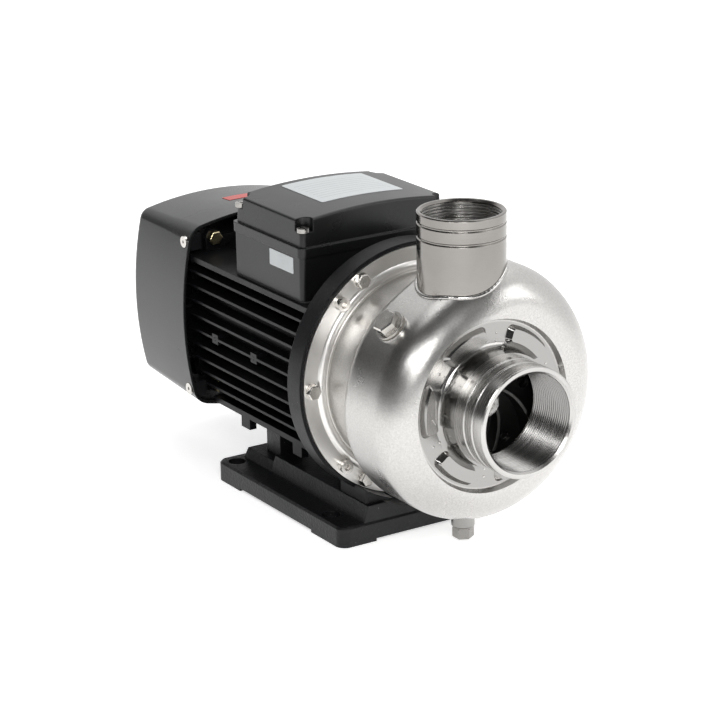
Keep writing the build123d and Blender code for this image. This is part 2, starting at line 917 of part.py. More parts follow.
def frame_screw(y, z):
    """Socket-head screw from the bracket into the motor frame's corner rib."""
    return socket_screw(frame_screw_r, frame_screw_length, socket_head_r, frame_screw_head_height,
                        socket_size, bracket_floor_x, y, z)


# Base

base_screw_seat_z = base_screw_sink - shaft_height
base_screw_tip_z = base_screw_seat_z + base_screw_length
rear_platform_z = rear_platform_height - shaft_height


def base_screw_points():
    """Where the screws stand that come up through the base."""
    front = [(base_screw_x, side * base_screw_y) for side in (-1, 1)]
    return front + [(support_x, side * support_screw_y) for side in (-1, 1)]


def platform(x0, x1, top):
    """Raised part of the base with sloping flanks."""
    low = base_rim_height - shaft_height - 1
    foot = platform_half_width + platform_slope
    outline = make_face(Polyline((-foot, low), (foot, low), (platform_half_width, top),
                                 (-platform_half_width, top), close=True))
    return extrude(Plane.YZ.offset(x0) * outline, amount=x1 - x0)


def base_plate():
    """Cast base: rim plate on four pads, two platforms and the casing's cradle."""
    floor_z = -shaft_height
    rim_z = base_rim_height - shaft_height
    body = slab(base_rear_x, base_front_x, base_half_width, floor_z, rim_z)
    body = fillet(body.edges().filter_by(Axis.Z), base_corner_r)
    body = chamfer(body.edges().group_by(Axis.Z)[-1], base_edge)
    relief_z = floor_z + base_relief
    inner_y = base_half_width - base_pad_width
    body -= slab(base_rear_x + base_rear_pad_length, base_front_x - base_front_pad_length,
                 base_half_width + 1, floor_z - 1, relief_z)
    body -= slab(base_rear_x - 1, base_front_x + 1, inner_y, floor_z - 1, relief_z)
    body += platform(rear_platform_rear_x, front_platform_rear_x, rear_platform_z)
    body += platform(front_platform_rear_x, front_platform_front_x, foot_z)
    body -= disc(ring_r + cradle_gap, -cradle_length, base_front_x + 1)
    body -= slab(front_platform_rear_x, base_hollow_front_x, inner_y, floor_z - 1,
                 floor_z + base_hollow_height)
    for x, y in base_screw_points():
        body -= upright(base_screw_sink_r, x, y, floor_z - 1, base_screw_seat_z)
        body -= upright(base_screw_r, x, y, floor_z - 1, -bracket_back_r)
    for end in (-1, 1):
        for side in (-1, 1):
            body -= upright(bolt_hole_r, end * bolt_spacing_x / 2 - flange_x, side * bolt_spacing_y / 2,
                            floor_z - 1, rim_z + 1)
    return body


def rear_support():
    """Arched block between the base and the motor frame."""
    half = support_depth / 2
    body = slab(support_x - half, support_x + half, support_half_width, rear_platform_z, ledge_bottom_z)
    arch = slab(support_x - half - 1, support_x + half + 1, support_arch_half_width,
                rear_platform_z - support_arch_height, rear_platform_z + support_arch_height)
    body -= fillet(arch.edges().filter_by(Axis.X), foot_fillet)
    for side in (-1, 1):
        y = side * support_screw_y
        body -= upright(base_screw_r, support_x, y, rear_platform_z - 1, base_screw_tip_z)
    return body


def base_screw(x, y):
    """Socket-head screw that comes up through the base."""
    face_z = base_screw_seat_z - base_screw_head_height
    body = upright(base_screw_r, x, y, base_screw_seat_z, base_screw_tip_z)
    body += upright(base_screw_head_r, x, y, face_z, base_screw_seat_z)
    socket = Plane.XY.offset(face_z - 1) * Pos(x, y) * RegularPolygon(socket_size / 2, 6, major_radius=False)
    return body - extrude(socket, amount=socket_depth + 1)


# Motor frame

def fin_tip(z):
    """Half width of the frame at a height."""
    if z >= fin_turn_z:
        return frame_half_width
    return frame_half_width - fin_curve_r + sqrt(fin_curve_r**2 - (z - fin_turn_z) ** 2)


def fin_z(index):
    """Height of a fin's middle, counted down from the frame's deck."""
    return fin_top_z - fin_pitch * index


def side_boss(x, side):
    """Small square boss with a blind hole on one of the fins."""
    z = fin_z(side_boss_fin)
    body = side_block(x - side_boss_length / 2, x + side_boss_length / 2, side, stator_r, frame_half_width,
                      z - side_boss_height / 2, z + side_boss_height / 2)
    return body - side_bar(side_boss_hole_r, x, side, frame_half_width - side_boss_hole_depth,
                           frame_half_width + 1, z)


def ear_lug(x0, x1, y, z):
    """Lug for one shield bolt, with a rib towards the shaft."""
    low, high = sorted((z, z - ear_lug_rib if z > 0 else z + ear_lug_rib))
    return disc(ear_lug_r, x0, x1, y, z) + block(x0, x1, y - ear_lug_r, y + ear_lug_r, low, high)


def frame_body():
    """Tube of the motor frame with its fins, deck, ledge, ribs, lugs and bosses."""
    body = disc(stator_r + frame_wall, frame_rear_x, frame_front_x)
    half = fin_thickness / 2
    for index in range(1, fin_count + 1):
        z = fin_z(index)
        body += slab(frame_rear_x, frame_front_x, fin_tip(z), z - half, z + half)
    body += slab(frame_rear_x, frame_front_x, frame_half_width, frame_top_z - deck_thickness, frame_top_z)
    ledge_top_z = ledge_bottom_z + deck_thickness
    body += slab(ledge_rear_x, frame_front_x, ledge_half_width, ledge_bottom_z, ledge_top_z)
    body += slab(frame_rear_x, frame_front_x, web_half_width, ledge_bottom_z, -stator_r)
    for y, z in corners(screw_rib_y, screw_rib_z):
        body += disc(screw_rib_r, frame_rear_x, frame_front_x, y, z)
    for y, z in corners(ear_bolt_y, ear_bolt_z):
        body += ear_lug(frame_rear_x, ear_lug_front_x, y, z)
    for side in (-1, 1):
        for x in lug_x:
            body += side_block(x - lug_length / 2, x + lug_length / 2, side, ledge_half_width - lug_width,
                               ledge_half_width, ledge_bottom_z - lug_height, ledge_top_z)
        for x in side_boss_x:
            body += side_boss(x, side)
    return body


def motor_frame():
    """Cast frame, bored for the stator and drilled for its screws."""
    body = frame_body() - disc(stator_r, frame_rear_x - 1, frame_front_x + 1)
    for y, z in corners(screw_rib_y, screw_rib_z):
        body -= disc(frame_screw_r, bracket_floor_x - frame_screw_length, frame_front_x + 1, y, z)
    for y, z in corners(ear_bolt_y, ear_bolt_z):
        body -= disc(ear_bolt_r, frame_rear_x - 1, ear_lug_front_x + 1, y, z)
        body -= disc(ear_bolt_room_r, ear_lug_front_x, ear_lug_front_x + ear_bolt_room_length, y, z)
    for x, y in box_screw_points():
        body -= upright(box_screw_r, x, y, box_screw_tip_z, frame_top_z + 1)
    return body


# Stator and rotor

def slot_bar(index, x0, x1):
    """Bar that fills one stator slot."""
    half = slot_width / 2
    bar = block(x0, x1, stator_bore_r - 1, stator_bore_r + slot_depth, -half, half)
    return Rot(360 / slot_count * (index + 0.5), 0, 0) * bar


def stator_core():
    """Laminated stack with its winding slots."""
    body = disc(stator_r, stack_rear_x, stack_front_x)
    for index in range(slot_count):
        body -= slot_bar(index, stack_rear_x - 1, stack_front_x + 1)
    return body - disc(stator_bore_r, stack_rear_x - 1, stack_front_x + 1)


def stator_windings():
    """Copper in the slots and the end turns on both sides of the stack."""
    body = ring(end_turn_r, end_turn_inner_r, stack_front_x, stack_front_x + end_turn_length)
    body += ring(end_turn_r, end_turn_inner_r, stack_rear_x - end_turn_length, stack_rear_x)
    for index in range(slot_count):
        body += slot_bar(index, stack_rear_x, stack_front_x)
    return body - disc(stator_bore_r + 1, stack_rear_x - 1, stack_front_x + 1)


def rotor_core():
    """Laminated rotor on the shaft."""
    return ring(stator_bore_r - air_gap, shaft_core_r, stack_rear_x, stack_front_x)


def rotor_end_ring(x0, x1):
    """Aluminium ring at one end of the rotor."""
    return ring(stator_bore_r - air_gap, end_ring_inner_r, x0, x1)


def motor_shaft():
    """Stepped shaft from the fan to the impeller, tapped for the impeller's screw."""
    rear_seat_x = rear_bearing_x - rear_bearing_width
    front_seat_x = front_bearing_x - front_bearing_width
    core_rear_x = stack_rear_x - shaft_core_overhang
    core_front_x = stack_front_x + shaft_core_overhang
    body = turned(
        (shaft_rear_x, 0), (shaft_rear_x, shaft_fan_r - shaft_edge),
        (shaft_rear_x + shaft_edge, shaft_fan_r),
        (rear_seat_x, shaft_fan_r), (rear_seat_x, shaft_rear_bearing_r),
        (rear_bearing_x, shaft_rear_bearing_r), (rear_bearing_x, shaft_rear_shoulder_r),
        (core_rear_x, shaft_rear_shoulder_r), (core_rear_x, shaft_core_r), (core_front_x, shaft_core_r),
        (core_front_x, shaft_front_shoulder_r), (front_seat_x, shaft_front_shoulder_r),
        (front_seat_x, shaft_seal_r), (impeller_hub_rear_x, shaft_seal_r),
        (impeller_hub_rear_x, shaft_impeller_r), (shaft_front_x - shaft_edge, shaft_impeller_r),
        (shaft_front_x, shaft_impeller_r - shaft_edge), (shaft_front_x, 0),
    )
    screw_tip_x = impeller_hub_front_x + impeller_washer_height - impeller_screw_length
    body -= disc(impeller_screw_r, screw_tip_x, shaft_front_x + 1)
    return body - fan_clip() - keyway(key_front_x)


# Bearings

class Bearing:
    """Ball bearing made of an inner ring, an outer ring, balls and their cage."""

    def __init__(self, bore_r, outer_r, width, ball_r, front_x):
        self.bore_r = bore_r
        self.outer_r = outer_r
        self.ball_r = ball_r
        self.pitch_r = (bore_r + outer_r) / 2
        self.front_x = front_x
        self.rear_x = front_x - width
        self.middle_x = front_x - width / 2

    def race(self):
        """Ring-shaped track that the balls run in."""
        return revolve(Pos(self.middle_x, self.pitch_r) * Circle(self.ball_r + ball_play), axis=Axis.X)

    def outer(self):
        """Outer ring."""
        inner_r = self.pitch_r + race_reach * self.ball_r
        return ring(self.outer_r, inner_r, self.rear_x, self.front_x) - self.race()

    def inner(self):
        """Inner ring."""
        outer_r = self.pitch_r - race_reach * self.ball_r
        return ring(outer_r, self.bore_r, self.rear_x, self.front_x) - self.race()

    def ball(self, index):
        """One ball."""
        y, z = polar(self.pitch_r, 360 / ball_count * index)
        return Pos(self.middle_x, y, z) * Sphere(self.ball_r)

    def balls(self):
        """All the balls."""
        return group(self.ball(index) for index in range(ball_count))

    def cage(self):
        """Band that keeps the balls apart."""
        half = self.ball_r + cage_half_thickness
        body = ring(self.pitch_r + cage_half_thickness, self.pitch_r - cage_half_thickness,
                    self.middle_x - half, self.middle_x + half)
        for index in range(ball_count):
            body -= self.ball(index)
        return body


front_race = Bearing(shaft_seal_r, front_bearing_r, front_bearing_width, front_ball_r, front_bearing_x)
rear_race = Bearing(shaft_rear_bearing_r, rear_bearing_r, rear_bearing_width, rear_ball_r, rear_bearing_x)


def slinger():
    """Rubber disc that throws off water between the seal and the bearing."""
    step_x = slinger_x + slinger_length / 3
    end_x = slinger_x + slinger_length
    hub_r = (slinger_r + shaft_seal_r) / 2
    return turned((slinger_x, shaft_seal_r), (slinger_x, slinger_r), (step_x, slinger_r),
                  (step_x, hub_r), (end_x, hub_r), (end_x, shaft_seal_r))


# Rear shield

cover_screw_tip_y = cover_screw_seat_y - cover_screw_length


def shield_ear(side, level):
    """Ear beside the frame that takes one screw of the fan cover."""
    z0 = level * cover_screw_z - shield_ear_half_height
    z1 = level * cover_screw_z + shield_ear_half_height
    outer = cover_screw_seat_y - fan_cover_wall / 2
    fin_clear = fin_tip(fin_z(fin_count)) + 1
    body = side_block(shield_rear_x, frame_rear_x, side, ear_bolt_y, outer, z0, z1)
    body += side_block(frame_rear_x, shield_ear_front_x, side, fin_clear, outer, z0, z1)
    return body & cover_block(fan_cover_wall)


def rear_shield():
    """Cast shield with the rear bearing's hub and the ears of the fan cover."""
    plate = RectangleRounded(2 * shield_half_width, 2 * shield_half_width, shield_corner_r)
    body = extrude(Plane.YZ.offset(shield_rear_x) * plate, amount=frame_rear_x - shield_rear_x)
    body += disc(stator_r, frame_rear_x, frame_rear_x + shield_spigot_length)
    body += disc(shield_hub_r, frame_rear_x, shield_hub_front_x)
    body -= ring(stator_r - shield_wall, shield_hub_r, shield_rear_x + shield_wall, shield_hub_front_x)
    for y, z in corners(ear_bolt_y, ear_bolt_z):
        body += ear_lug(shield_rear_x, frame_rear_x, y, z)
    for side, level in corners(1, 1):
        body += shield_ear(side, level)
        body -= side_bar(cover_screw_r, cover_screw_x, side, cover_screw_tip_y, cover_half_width,
                         level * cover_screw_z)
    for y, z in corners(ear_bolt_y, ear_bolt_z):
        body -= disc(ear_bolt_r, ear_lug_front_x - ear_bolt_length, frame_rear_x + 1, y, z)
    body -= disc(rear_bearing_r, rear_bearing_x - rear_bearing_width, shield_hub_front_x + 1)
    return body - disc(shaft_rear_shoulder_r, shield_rear_x - 1, shield_hub_front_x + 1)


def shield_bolt(y, z):
    """Hexagon bolt through the frame's rear lug into the shield."""
    head = hexagon(ear_bolt_hex, ear_lug_front_x, ear_lug_front_x + ear_bolt_head_height, y, z)
    head = chamfer(head.edges().group_by(Axis.X)[-1], hex_chamfer * ear_bolt_hex)
    return head + disc(ear_bolt_r, ear_lug_front_x - ear_bolt_length, ear_lug_front_x, y, z)


# Fan and fan cover

fan_clip_x = fan_rear_x - fan_plate


def cooling_fan():
    """Radial fan: hub, back plate and straight blades on arms."""
    body = disc(fan_hub_r, fan_clip_x, fan_front_x)
    body += disc(fan_r, fan_rear_x, fan_rear_x + fan_plate)
    half = fan_blade_thickness / 2
    blade = block(fan_rear_x, fan_front_x, fan_blade_inner_r, fan_r - 1, -half, half)
    blade += block(fan_rear_x, fan_rear_x + 3 * fan_plate, fan_hub_r - 1, fan_blade_inner_r + 1, -half, half)
    for index in range(fan_blade_count):
        body += Rot(360 / fan_blade_count * index, 0, 0) * blade
    return body - disc(shaft_fan_r, fan_clip_x - 1, fan_front_x + 1)


def fan_clip():
    """Spring ring in the shaft's groove behind the fan."""
    return ring(fan_clip_r, shaft_fan_r - fan_clip_height, fan_clip_x - fan_clip_height, fan_clip_x)


def cover_block(inset):
    """Fan cover as a solid, drawn in from its outer skin by inset."""
    corner_y = cover_corner_y - inset
    corner_z = cover_corner_z - inset
    half_width = cover_half_width - inset
    half_height = cover_half_height - inset
    edges = ThreePointArc((corner_y, -corner_z), (half_width, 0), (corner_y, corner_z))
    edges += ThreePointArc((corner_y, corner_z), (0, half_height), (-corner_y, corner_z))
    edges += ThreePointArc((-corner_y, corner_z), (-half_width, 0), (-corner_y, -corner_z))
    edges += ThreePointArc((-corner_y, -corner_z), (0, -half_height), (corner_y, -corner_z))
    outline = make_face(edges)
    outline = fillet(outline.vertices(), cover_corner_r - inset)
    start = Plane((cover_rim_x, 0, 0), x_dir=(0, 1, 0), z_dir=(-1, 0, 0))
    body = extrude(start * outline, amount=cover_rim_x - cover_rear_x - inset, taper=cover_draft)
    return fillet(body.edges().group_by(Axis.X)[0], cover_rear_edge_r - inset)


def fan_cover():
    """Moulded cover over the fan with a grille of round holes at the rear."""
    body = cover_block(0) - cover_block(fan_cover_wall)
    for count in range(grille_ring_count + 1):
        holes = max(1, 6 * count)
        for index in range(holes):
            centre = polar(grille_pitch * count, 360 / holes * index)
            body -= disc(grille_hole_r, cover_rear_x - 1, cover_rear_x + 2 * fan_cover_wall, *centre)
    for side, level in corners(1, 1):
        z = level * cover_screw_z
        body -= side_bar(cover_screw_head_r + hole_clearance, cover_screw_x, side, cover_screw_seat_y,
                         cover_half_width, z)
        body -= side_bar(cover_screw_r, cover_screw_x, side, cover_screw_tip_y, cover_half_width, z)
    return body


def cover_screw(side, level):
    """Screw that holds the fan cover to one ear of the shield."""
    z = level * cover_screw_z
    top_y = cover_screw_seat_y + cover_screw_head_height
    body = side_bar(cover_screw_r, cover_screw_x, side, cover_screw_tip_y, cover_screw_seat_y, z)
    body += side_bar(cover_screw_head_r, cover_screw_x, side, cover_screw_seat_y, top_y, z)
    return body - side_bar(cover_screw_r / 2, cover_screw_x, side, top_y - cover_screw_head_height / 2,
                           top_y + 1, z)


# Terminal box

box_base_z = frame_top_z + box_gasket_height
box_deck_z = box_floor_z + box_floor_thickness
box_screw_tip_z = frame_top_z - box_screw_depth
box_middle_x = (box_front_x + box_rear_x) / 2
lid_screw_tip_z = lid_pocket_floor_z - lid_screw_length


def box_points(inset):
    """Points near the four corners of the terminal box."""
    ends = (box_rear_x + inset, box_front_x - inset)
    return [(x, side * (box_half_width - inset)) for x in ends for side in (-1, 1)]


def box_screw_points():
    """Where the screws stand that hold the terminal box down."""
    return box_points(box_boss_inset)


def lid_screw_points():
    """Where the screws of the terminal lid stand."""
    return box_points(lid_pocket_inset)


def box_block(grow, z0, z1):
    """Rounded block over the terminal box's outline, grown by an amount."""
    outline = RectangleRounded(box_front_x - box_rear_x + 2 * grow, 2 * (box_half_width + grow),
                               box_corner_r + grow)
    return extrude(Plane.XY.offset(z0) * Pos(box_middle_x, 0) * outline, amount=z1 - z0)


def box_hollow(wall, z0, z1):
    """Box-shaped space inside the terminal box, one wall in from its sides."""
    return slab(box_rear_x + wall, box_front_x - wall, box_half_width - wall, z0, z1)


def frame_crown():
    """Round back of the motor frame with some room, for what sits over it."""
    return disc(stator_r + frame_wall + hole_clearance, box_rear_x - 1, box_front_x + 1)


def box_gasket():
    """Flat gasket between the motor frame's deck and the terminal box."""
    body = box_block(0, frame_top_z, box_base_z) - frame_crown()
    return body - box_hollow(box_gasket_width, frame_top_z - 1, box_base_z + 1)


def terminal_box():
    """Open box with its floor over the frame, posts in the corners and a cable hole."""
    upper = box_hollow(box_wall, box_deck_z, box_top_z + 1)
    for x, y in lid_screw_points():
        upper -= upright(lid_post_r, x, y, box_deck_z - 1, box_top_z + 2)
    lower = box_hollow(box_wall, box_base_z - 1, box_floor_z)
    for x, y in box_screw_points():
        lower -= upright(box_boss_r, x, y, box_base_z - 2, box_floor_z + 1)
    body = box_block(0, box_base_z, box_top_z) - upper - lower - frame_crown()
    for x, y in lid_screw_points():
        body -= upright(lid_screw_r, x, y, lid_screw_tip_z, box_top_z + 1)
    for x, y in box_screw_points():
        body -= upright(box_screw_r, x, y, box_base_z - 1, box_deck_z + 1)
    inner_y = box_half_width - 2 * box_wall
    return body - side_bar(gland_thread_r, gland_x, 1, inner_y, box_half_width + 1, gland_z)


def box_screw(x, y):
    """Screw that holds the terminal box to the frame's deck."""
    body = upright(box_screw_r, x, y, box_screw_tip_z, box_deck_z)
    return body + upright(box_screw_head_r, x, y, box_deck_z, box_deck_z + box_screw_head_height)


def lid_hood(inset):
    """Arched hood of the lid as a solid, drawn in from its outer skin by inset."""
    low_z = box_top_z + lid_rim_height - 1
    half = box_half_width + lid_overhang - lid_shoulder - inset
    length = box_front_x - box_rear_x + 2 * (lid_overhang - lid_shoulder - inset)
    side_z = lid_corner_z - inset
    top_z = side_z + lid_arch
    rectangle = RectangleRounded(length, 2 * half, box_corner_r)
    outline = Plane.XY.offset(low_z) * Pos(box_middle_x, 0) * rectangle
    body = extrude(outline, amount=top_z + lid_arch - low_z, taper=lid_draft)
    edges = ThreePointArc((-half, side_z), (0, top_z), (half, side_z))
    edges += Polyline((half, side_z), (half, low_z), (-half, low_z), (-half, side_z))
    arch = extrude(Plane.YZ.offset(box_middle_x - length) * make_face(edges), amount=2 * length)
    return body & arch


def terminal_lid():
    """Arched lid with a rim, corner pockets and posts for its screws."""
    rim_z = box_top_z + lid_rim_height
    hood = lid_hood(0)
    hood = fillet(hood.edges().filter_by(lambda edge: edge.center().Z > lid_corner_z - 1), lid_edge_r)
    cavity = lid_hood(lid_wall) + box_hollow(box_wall, box_top_z - 1, rim_z)
    for x, y in lid_screw_points():
        pocket_low_z = lid_pocket_floor_z - lid_wall
        cavity -= upright(lid_pocket_r + lid_wall, x, y, pocket_low_z, lid_corner_z + lid_arch)
        cavity -= upright(lid_post_r, x, y, box_top_z - 2, lid_pocket_floor_z)
    body = box_block(lid_overhang, box_top_z, rim_z) + hood - cavity
    for x, y in lid_screw_points():
        body -= upright(lid_pocket_r, x, y, lid_pocket_floor_z, lid_corner_z + 2 * lid_arch)
        body -= upright(lid_screw_r, x, y, box_top_z - 1, lid_pocket_floor_z + 1)
    return body


def lid_screw(x, y):
    """Screw of the terminal lid in its corner pocket."""
    head_z = lid_pocket_floor_z + lid_screw_head_height
    body = upright(lid_screw_r, x, y, lid_screw_tip_z, lid_pocket_floor_z)
    body += upright(lid_screw_head_r, x, y, lid_pocket_floor_z, head_z)
    slot = block(x - lid_screw_head_r, x + lid_screw_head_r, y - lid_screw_r / 3, y + lid_screw_r / 3,
                 head_z - lid_screw_head_height / 3, head_z + 1)
    return body - slot


def capacitor_bar(radius, half_length):
    """Round bar across the box where the capacitor lies."""
    middle = (capacitor_x, -half_length, box_deck_z + capacitor_r)
    return extrude(Plane(middle, x_dir=(1, 0, 0), z_dir=(0, 1, 0)) * Circle(radius), amount=2 * half_length)


def capacitor():
    """Run capacitor lying across the box floor."""
    body = capacitor_bar(capacitor_r, capacitor_half_length)
    ends = body.edges().group_by(Axis.Y)
    return chamfer(ends[0] + ends[-1], capacitor_edge)


def capacitor_clamp():
    """Strap over the capacitor with a foot on each side."""
    half = clamp_width / 2
    outer = capacitor_r + clamp_thickness
    foot = outer + clamp_foot
    body = capacitor_bar(outer, half)
    body += slab(capacitor_x - outer, capacitor_x + outer, half, box_deck_z, box_deck_z + capacitor_r)
    body += slab(capacitor_x - foot, capacitor_x + foot, half, box_deck_z, box_deck_z + clamp_thickness)
    body -= slab(capacitor_x - outer, capacitor_x + outer, half + 1, box_deck_z - outer, box_deck_z)
    body -= slab(capacitor_x - capacitor_r, capacitor_x + capacitor_r, half + 1, box_deck_z - 1,
                 box_deck_z + capacitor_r)
    return body - capacitor_bar(capacitor_r, half + 1)


terminal_channel_z = box_deck_z + terminal_block_height - terminal_channel_depth


def terminal_y(index):
    """Place of one terminal along the block."""
    return terminal_block_half_length * (2 * index + 1 - terminal_count) / terminal_count


def terminal_block():
    """Moulded block with a channel for each terminal."""
    half = terminal_block_depth / 2
    top_z = box_deck_z + terminal_block_height
    rear_x = terminal_block_x - half
    body = slab(rear_x, terminal_block_x + half, terminal_block_half_length, box_deck_z, top_z)
    half_width = terminal_channel_width / 2
    half_channel = terminal_block_half_length / terminal_count - terminal_wall / 2
    for index in range(terminal_count):
        y = terminal_y(index)
        body -= block(terminal_block_x - half_width, terminal_block_x + half_width,
                      y - half_channel, y + half_channel, terminal_channel_z, top_z + 1)
    return body


def terminal_stud(index):
    """One stud with its nut."""
    y = terminal_y(index)
    nut = Pos(terminal_block_x, y) * RegularPolygon(stud_nut / 2, 6, major_radius=False)
    body = extrude(Plane.XY.offset(terminal_channel_z) * nut, amount=stud_nut_height)
    return body + upright(stud_r, terminal_block_x, y, terminal_channel_z, terminal_channel_z + stud_height)


# Cable gland on the far side of the terminal box

gland_place = Location((gland_x, box_half_width, gland_z)) * Rot(0, 0, 90)
gland_barrel_end = gland_hex_height + gland_barrel_length
gland_seal_end = gland_barrel_end + gland_seal_stand


def gland_body():
    """Gland's hexagon and barrel, screwed into the box wall."""
    body = disc(gland_thread_r, -2 * box_wall, 0)
    body += hexagon(gland_hex, 0, gland_hex_height)
    body += disc(gland_barrel_r, 0, gland_barrel_end)
    body -= disc(gland_cable_r, -2 * box_wall - 1, gland_barrel_end + 1)
    return gland_place * (body - disc(gland_seal_r, gland_hex_height, gland_barrel_end + 1))


def gland_seal():
    """Rubber sleeve that grips the cable."""
    return gland_place * ring(gland_seal_r, gland_cable_r, gland_hex_height, gland_seal_end)


def gland_nut():
    """Cap nut over the gland's barrel."""
    start = gland_barrel_end - gland_nut_length + gland_nut_travel
    body = hexagon(gland_hex, start, gland_seal_end + gland_nut_wall)
    body = chamfer(body.edges().group_by(Axis.X)[-1], hex_chamfer * gland_hex)
    body -= disc(gland_barrel_r, start - 1, gland_seal_end)
    return gland_place * (body - disc(gland_cable_r, start, gland_seal_end + gland_nut_wall + 1))


pieces = {
    "pump_casing": pump_casing(),
    "suction_collar": suction_collar(),
    "discharge_tube": discharge_tube(),
    "priming_boss": priming_boss(),
    "priming_plug": priming_plug(),
    "priming_washer": priming_washer(),
    "drain_boss": drain_boss(),
    "drain_plug": drain_plug(),
    "drain_washer": drain_washer(),
    "seal_cord": seal_cord(),
    "flange_hex_screws": group(hex_screw(angle) for angle in hex_screw_angles),
    "flange_washers": group(flange_washer(angle) for angle in hex_screw_angles),
    "flange_socket_screws": group(flange_socket_screw(angle) for angle in socket_screw_angles),
    "casing_cover": casing_cover(),
    "seal_seat": seal_seat(),
    "seal_head": seal_head(),
    "seal_spring": seal_spring(),
    "impeller": impeller(),
    "impeller_key": impeller_key(),
    "impeller_washer": impeller_washer(),
    "impeller_screw": impeller_screw(),
    "motor_bracket": motor_bracket(),
    "frame_screws": group(frame_screw(y, z) for y, z in corners(screw_rib_y, screw_rib_z)),
    "base_plate": base_plate(),
    "base_screws": group(base_screw(x, y) for x, y in base_screw_points()),
    "rear_support": rear_support(),
    "motor_frame": motor_frame(),
    "stator_core": stator_core(),
    "stator_windings": stator_windings(),
    "rotor_core": rotor_core(),
    "rotor_end_rings": group([rotor_end_ring(stack_front_x, stack_front_x + end_ring_length),
                              rotor_end_ring(stack_rear_x - end_ring_length, stack_rear_x)]),
    "motor_shaft": motor_shaft(),
    "front_bearing_outer": front_race.outer(),
    "front_bearing_inner": front_race.inner(),
    "front_bearing_cage": front_race.cage(),
    "front_bearing_balls": front_race.balls(),
    "rear_bearing_outer": rear_race.outer(),
    "rear_bearing_inner": rear_race.inner(),
    "rear_bearing_cage": rear_race.cage(),
    "rear_bearing_balls": rear_race.balls(),
    "slinger": slinger(),
    "rear_shield": rear_shield(),
    "shield_bolts": group(shield_bolt(y, z) for y, z in corners(ear_bolt_y, ear_bolt_z)),
    "cooling_fan": cooling_fan(),
    "fan_clip": fan_clip(),
    "fan_cover": fan_cover(),
    "fan_cover_screws": group(cover_screw(side, level) for side, level in corners(1, 1)),
    "terminal_box": terminal_box(),
    "box_gasket": box_gasket(),
    "box_screws": group(box_screw(x, y) for x, y in box_screw_points()),
    "terminal_lid": terminal_lid(),
    "lid_screws": group(lid_screw(x, y) for x, y in lid_screw_points()),
    "terminal_block": terminal_block(),
    "terminal_studs": group(terminal_stud(index) for index in range(terminal_count)),
    "capacitor": capacitor(),
    "capacitor_clamp": capacitor_clamp(),
    "gland_body": gland_body(),
    "gland_seal": gland_seal(),
    "gland_nut": gland_nut(),
}

for name, piece in pieces.items():
    export_step(Pos(flange_x, 0, shaft_height) * piece, f"parts/{name}.step")
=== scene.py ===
import math

import bmesh
import bpy
from mathutils import Matrix, Vector
from mathutils.bvhtree import BVHTree


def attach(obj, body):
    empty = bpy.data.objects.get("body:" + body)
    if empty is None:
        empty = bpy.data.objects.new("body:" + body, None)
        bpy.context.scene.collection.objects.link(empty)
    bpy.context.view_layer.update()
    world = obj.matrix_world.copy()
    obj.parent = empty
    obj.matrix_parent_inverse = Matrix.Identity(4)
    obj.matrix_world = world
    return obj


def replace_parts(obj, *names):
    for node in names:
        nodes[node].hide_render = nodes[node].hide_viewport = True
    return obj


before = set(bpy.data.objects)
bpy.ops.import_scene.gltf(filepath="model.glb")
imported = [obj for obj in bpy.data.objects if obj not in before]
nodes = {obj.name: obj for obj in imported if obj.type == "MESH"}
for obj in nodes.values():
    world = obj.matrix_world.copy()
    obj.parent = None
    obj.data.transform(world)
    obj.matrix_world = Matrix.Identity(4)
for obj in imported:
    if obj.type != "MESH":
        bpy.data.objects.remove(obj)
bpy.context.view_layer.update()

bl_info = {
    "name": "Booster pump dressing",
    "version": (1, 0, 0),
    "blender": (4, 5, 0),
    "location": "3D View > Sidebar > Pump",
    "description": "Dresses a close-coupled booster pump: steel, enamel, plastic, threads, weld and plates",
    "category": "Object",
}

MM = 0.001
X, Z = 0, 2

# Axes of the pump: the shaft lies along x, the discharge stands along z
SHAFT = Vector((0.0, 0.0, 0.120))
DISCHARGE = Vector((0.1445, 0.0, 0.0))

# Where the casing's finishes change, and where its painted light on the flange and painted shade in the
# recess begin, each from nothing to full: three places along x, and the last a distance from the shaft
FLANGE_FACE = (0.0835, 0.0825)
NECK_END = (0.112, 0.122)
RECESS_FLOOR = (0.160, 0.164)
RECESS_EDGE = (0.0635, 0.0615)

# Ranges of a pattern that are spread over a whole finish; the wider one gives a softer contrast
MOST = (0.3, 0.7)
SOFTER = (0.2, 0.8)

# Threads: radius of the crests and the two ends along the axis, then steps in a turn, width of the flat ring
# at an end, and how far off the crests' radius the plain bore may be
SUCTION_CREST = 36.11 * MM
SUCTION_THREAD = (0.1822, 0.2262)
DISCHARGE_CREST = 28.33 * MM
DISCHARGE_THREAD = (0.2236, 0.2558)
THREAD_STEPS = 96
THREAD_END_WIDTH = 1.6 * MM
BORE_SLACK = 0.15 * MM
# One tooth: share of the pitch along the bore, share of the thread's depth
TOOTH = ((0.0, 0.0), (0.12, 0.0), (0.5, 1.0), (0.62, 1.0))

# Where the rays start that find the casing: x in front of its face, z above it
FACE_VIEW = 0.25
TOP_VIEW = 0.30

# Weld round the foot of the discharge tube: radius of its middle, how far outside that the casing's level
# is read, how far the bead stands up from there, and its level where no casing is under it
WELD_REACH = 32.4 * MM
WELD_OUTSIDE = 0.4 * MM
WELD_RISE = 0.2 * MM
WELD_LEVEL = 0.2
WELD_STEPS = 220
WELD_RIPPLES = 62
WELD_RIPPLE_SHARE = 0.03

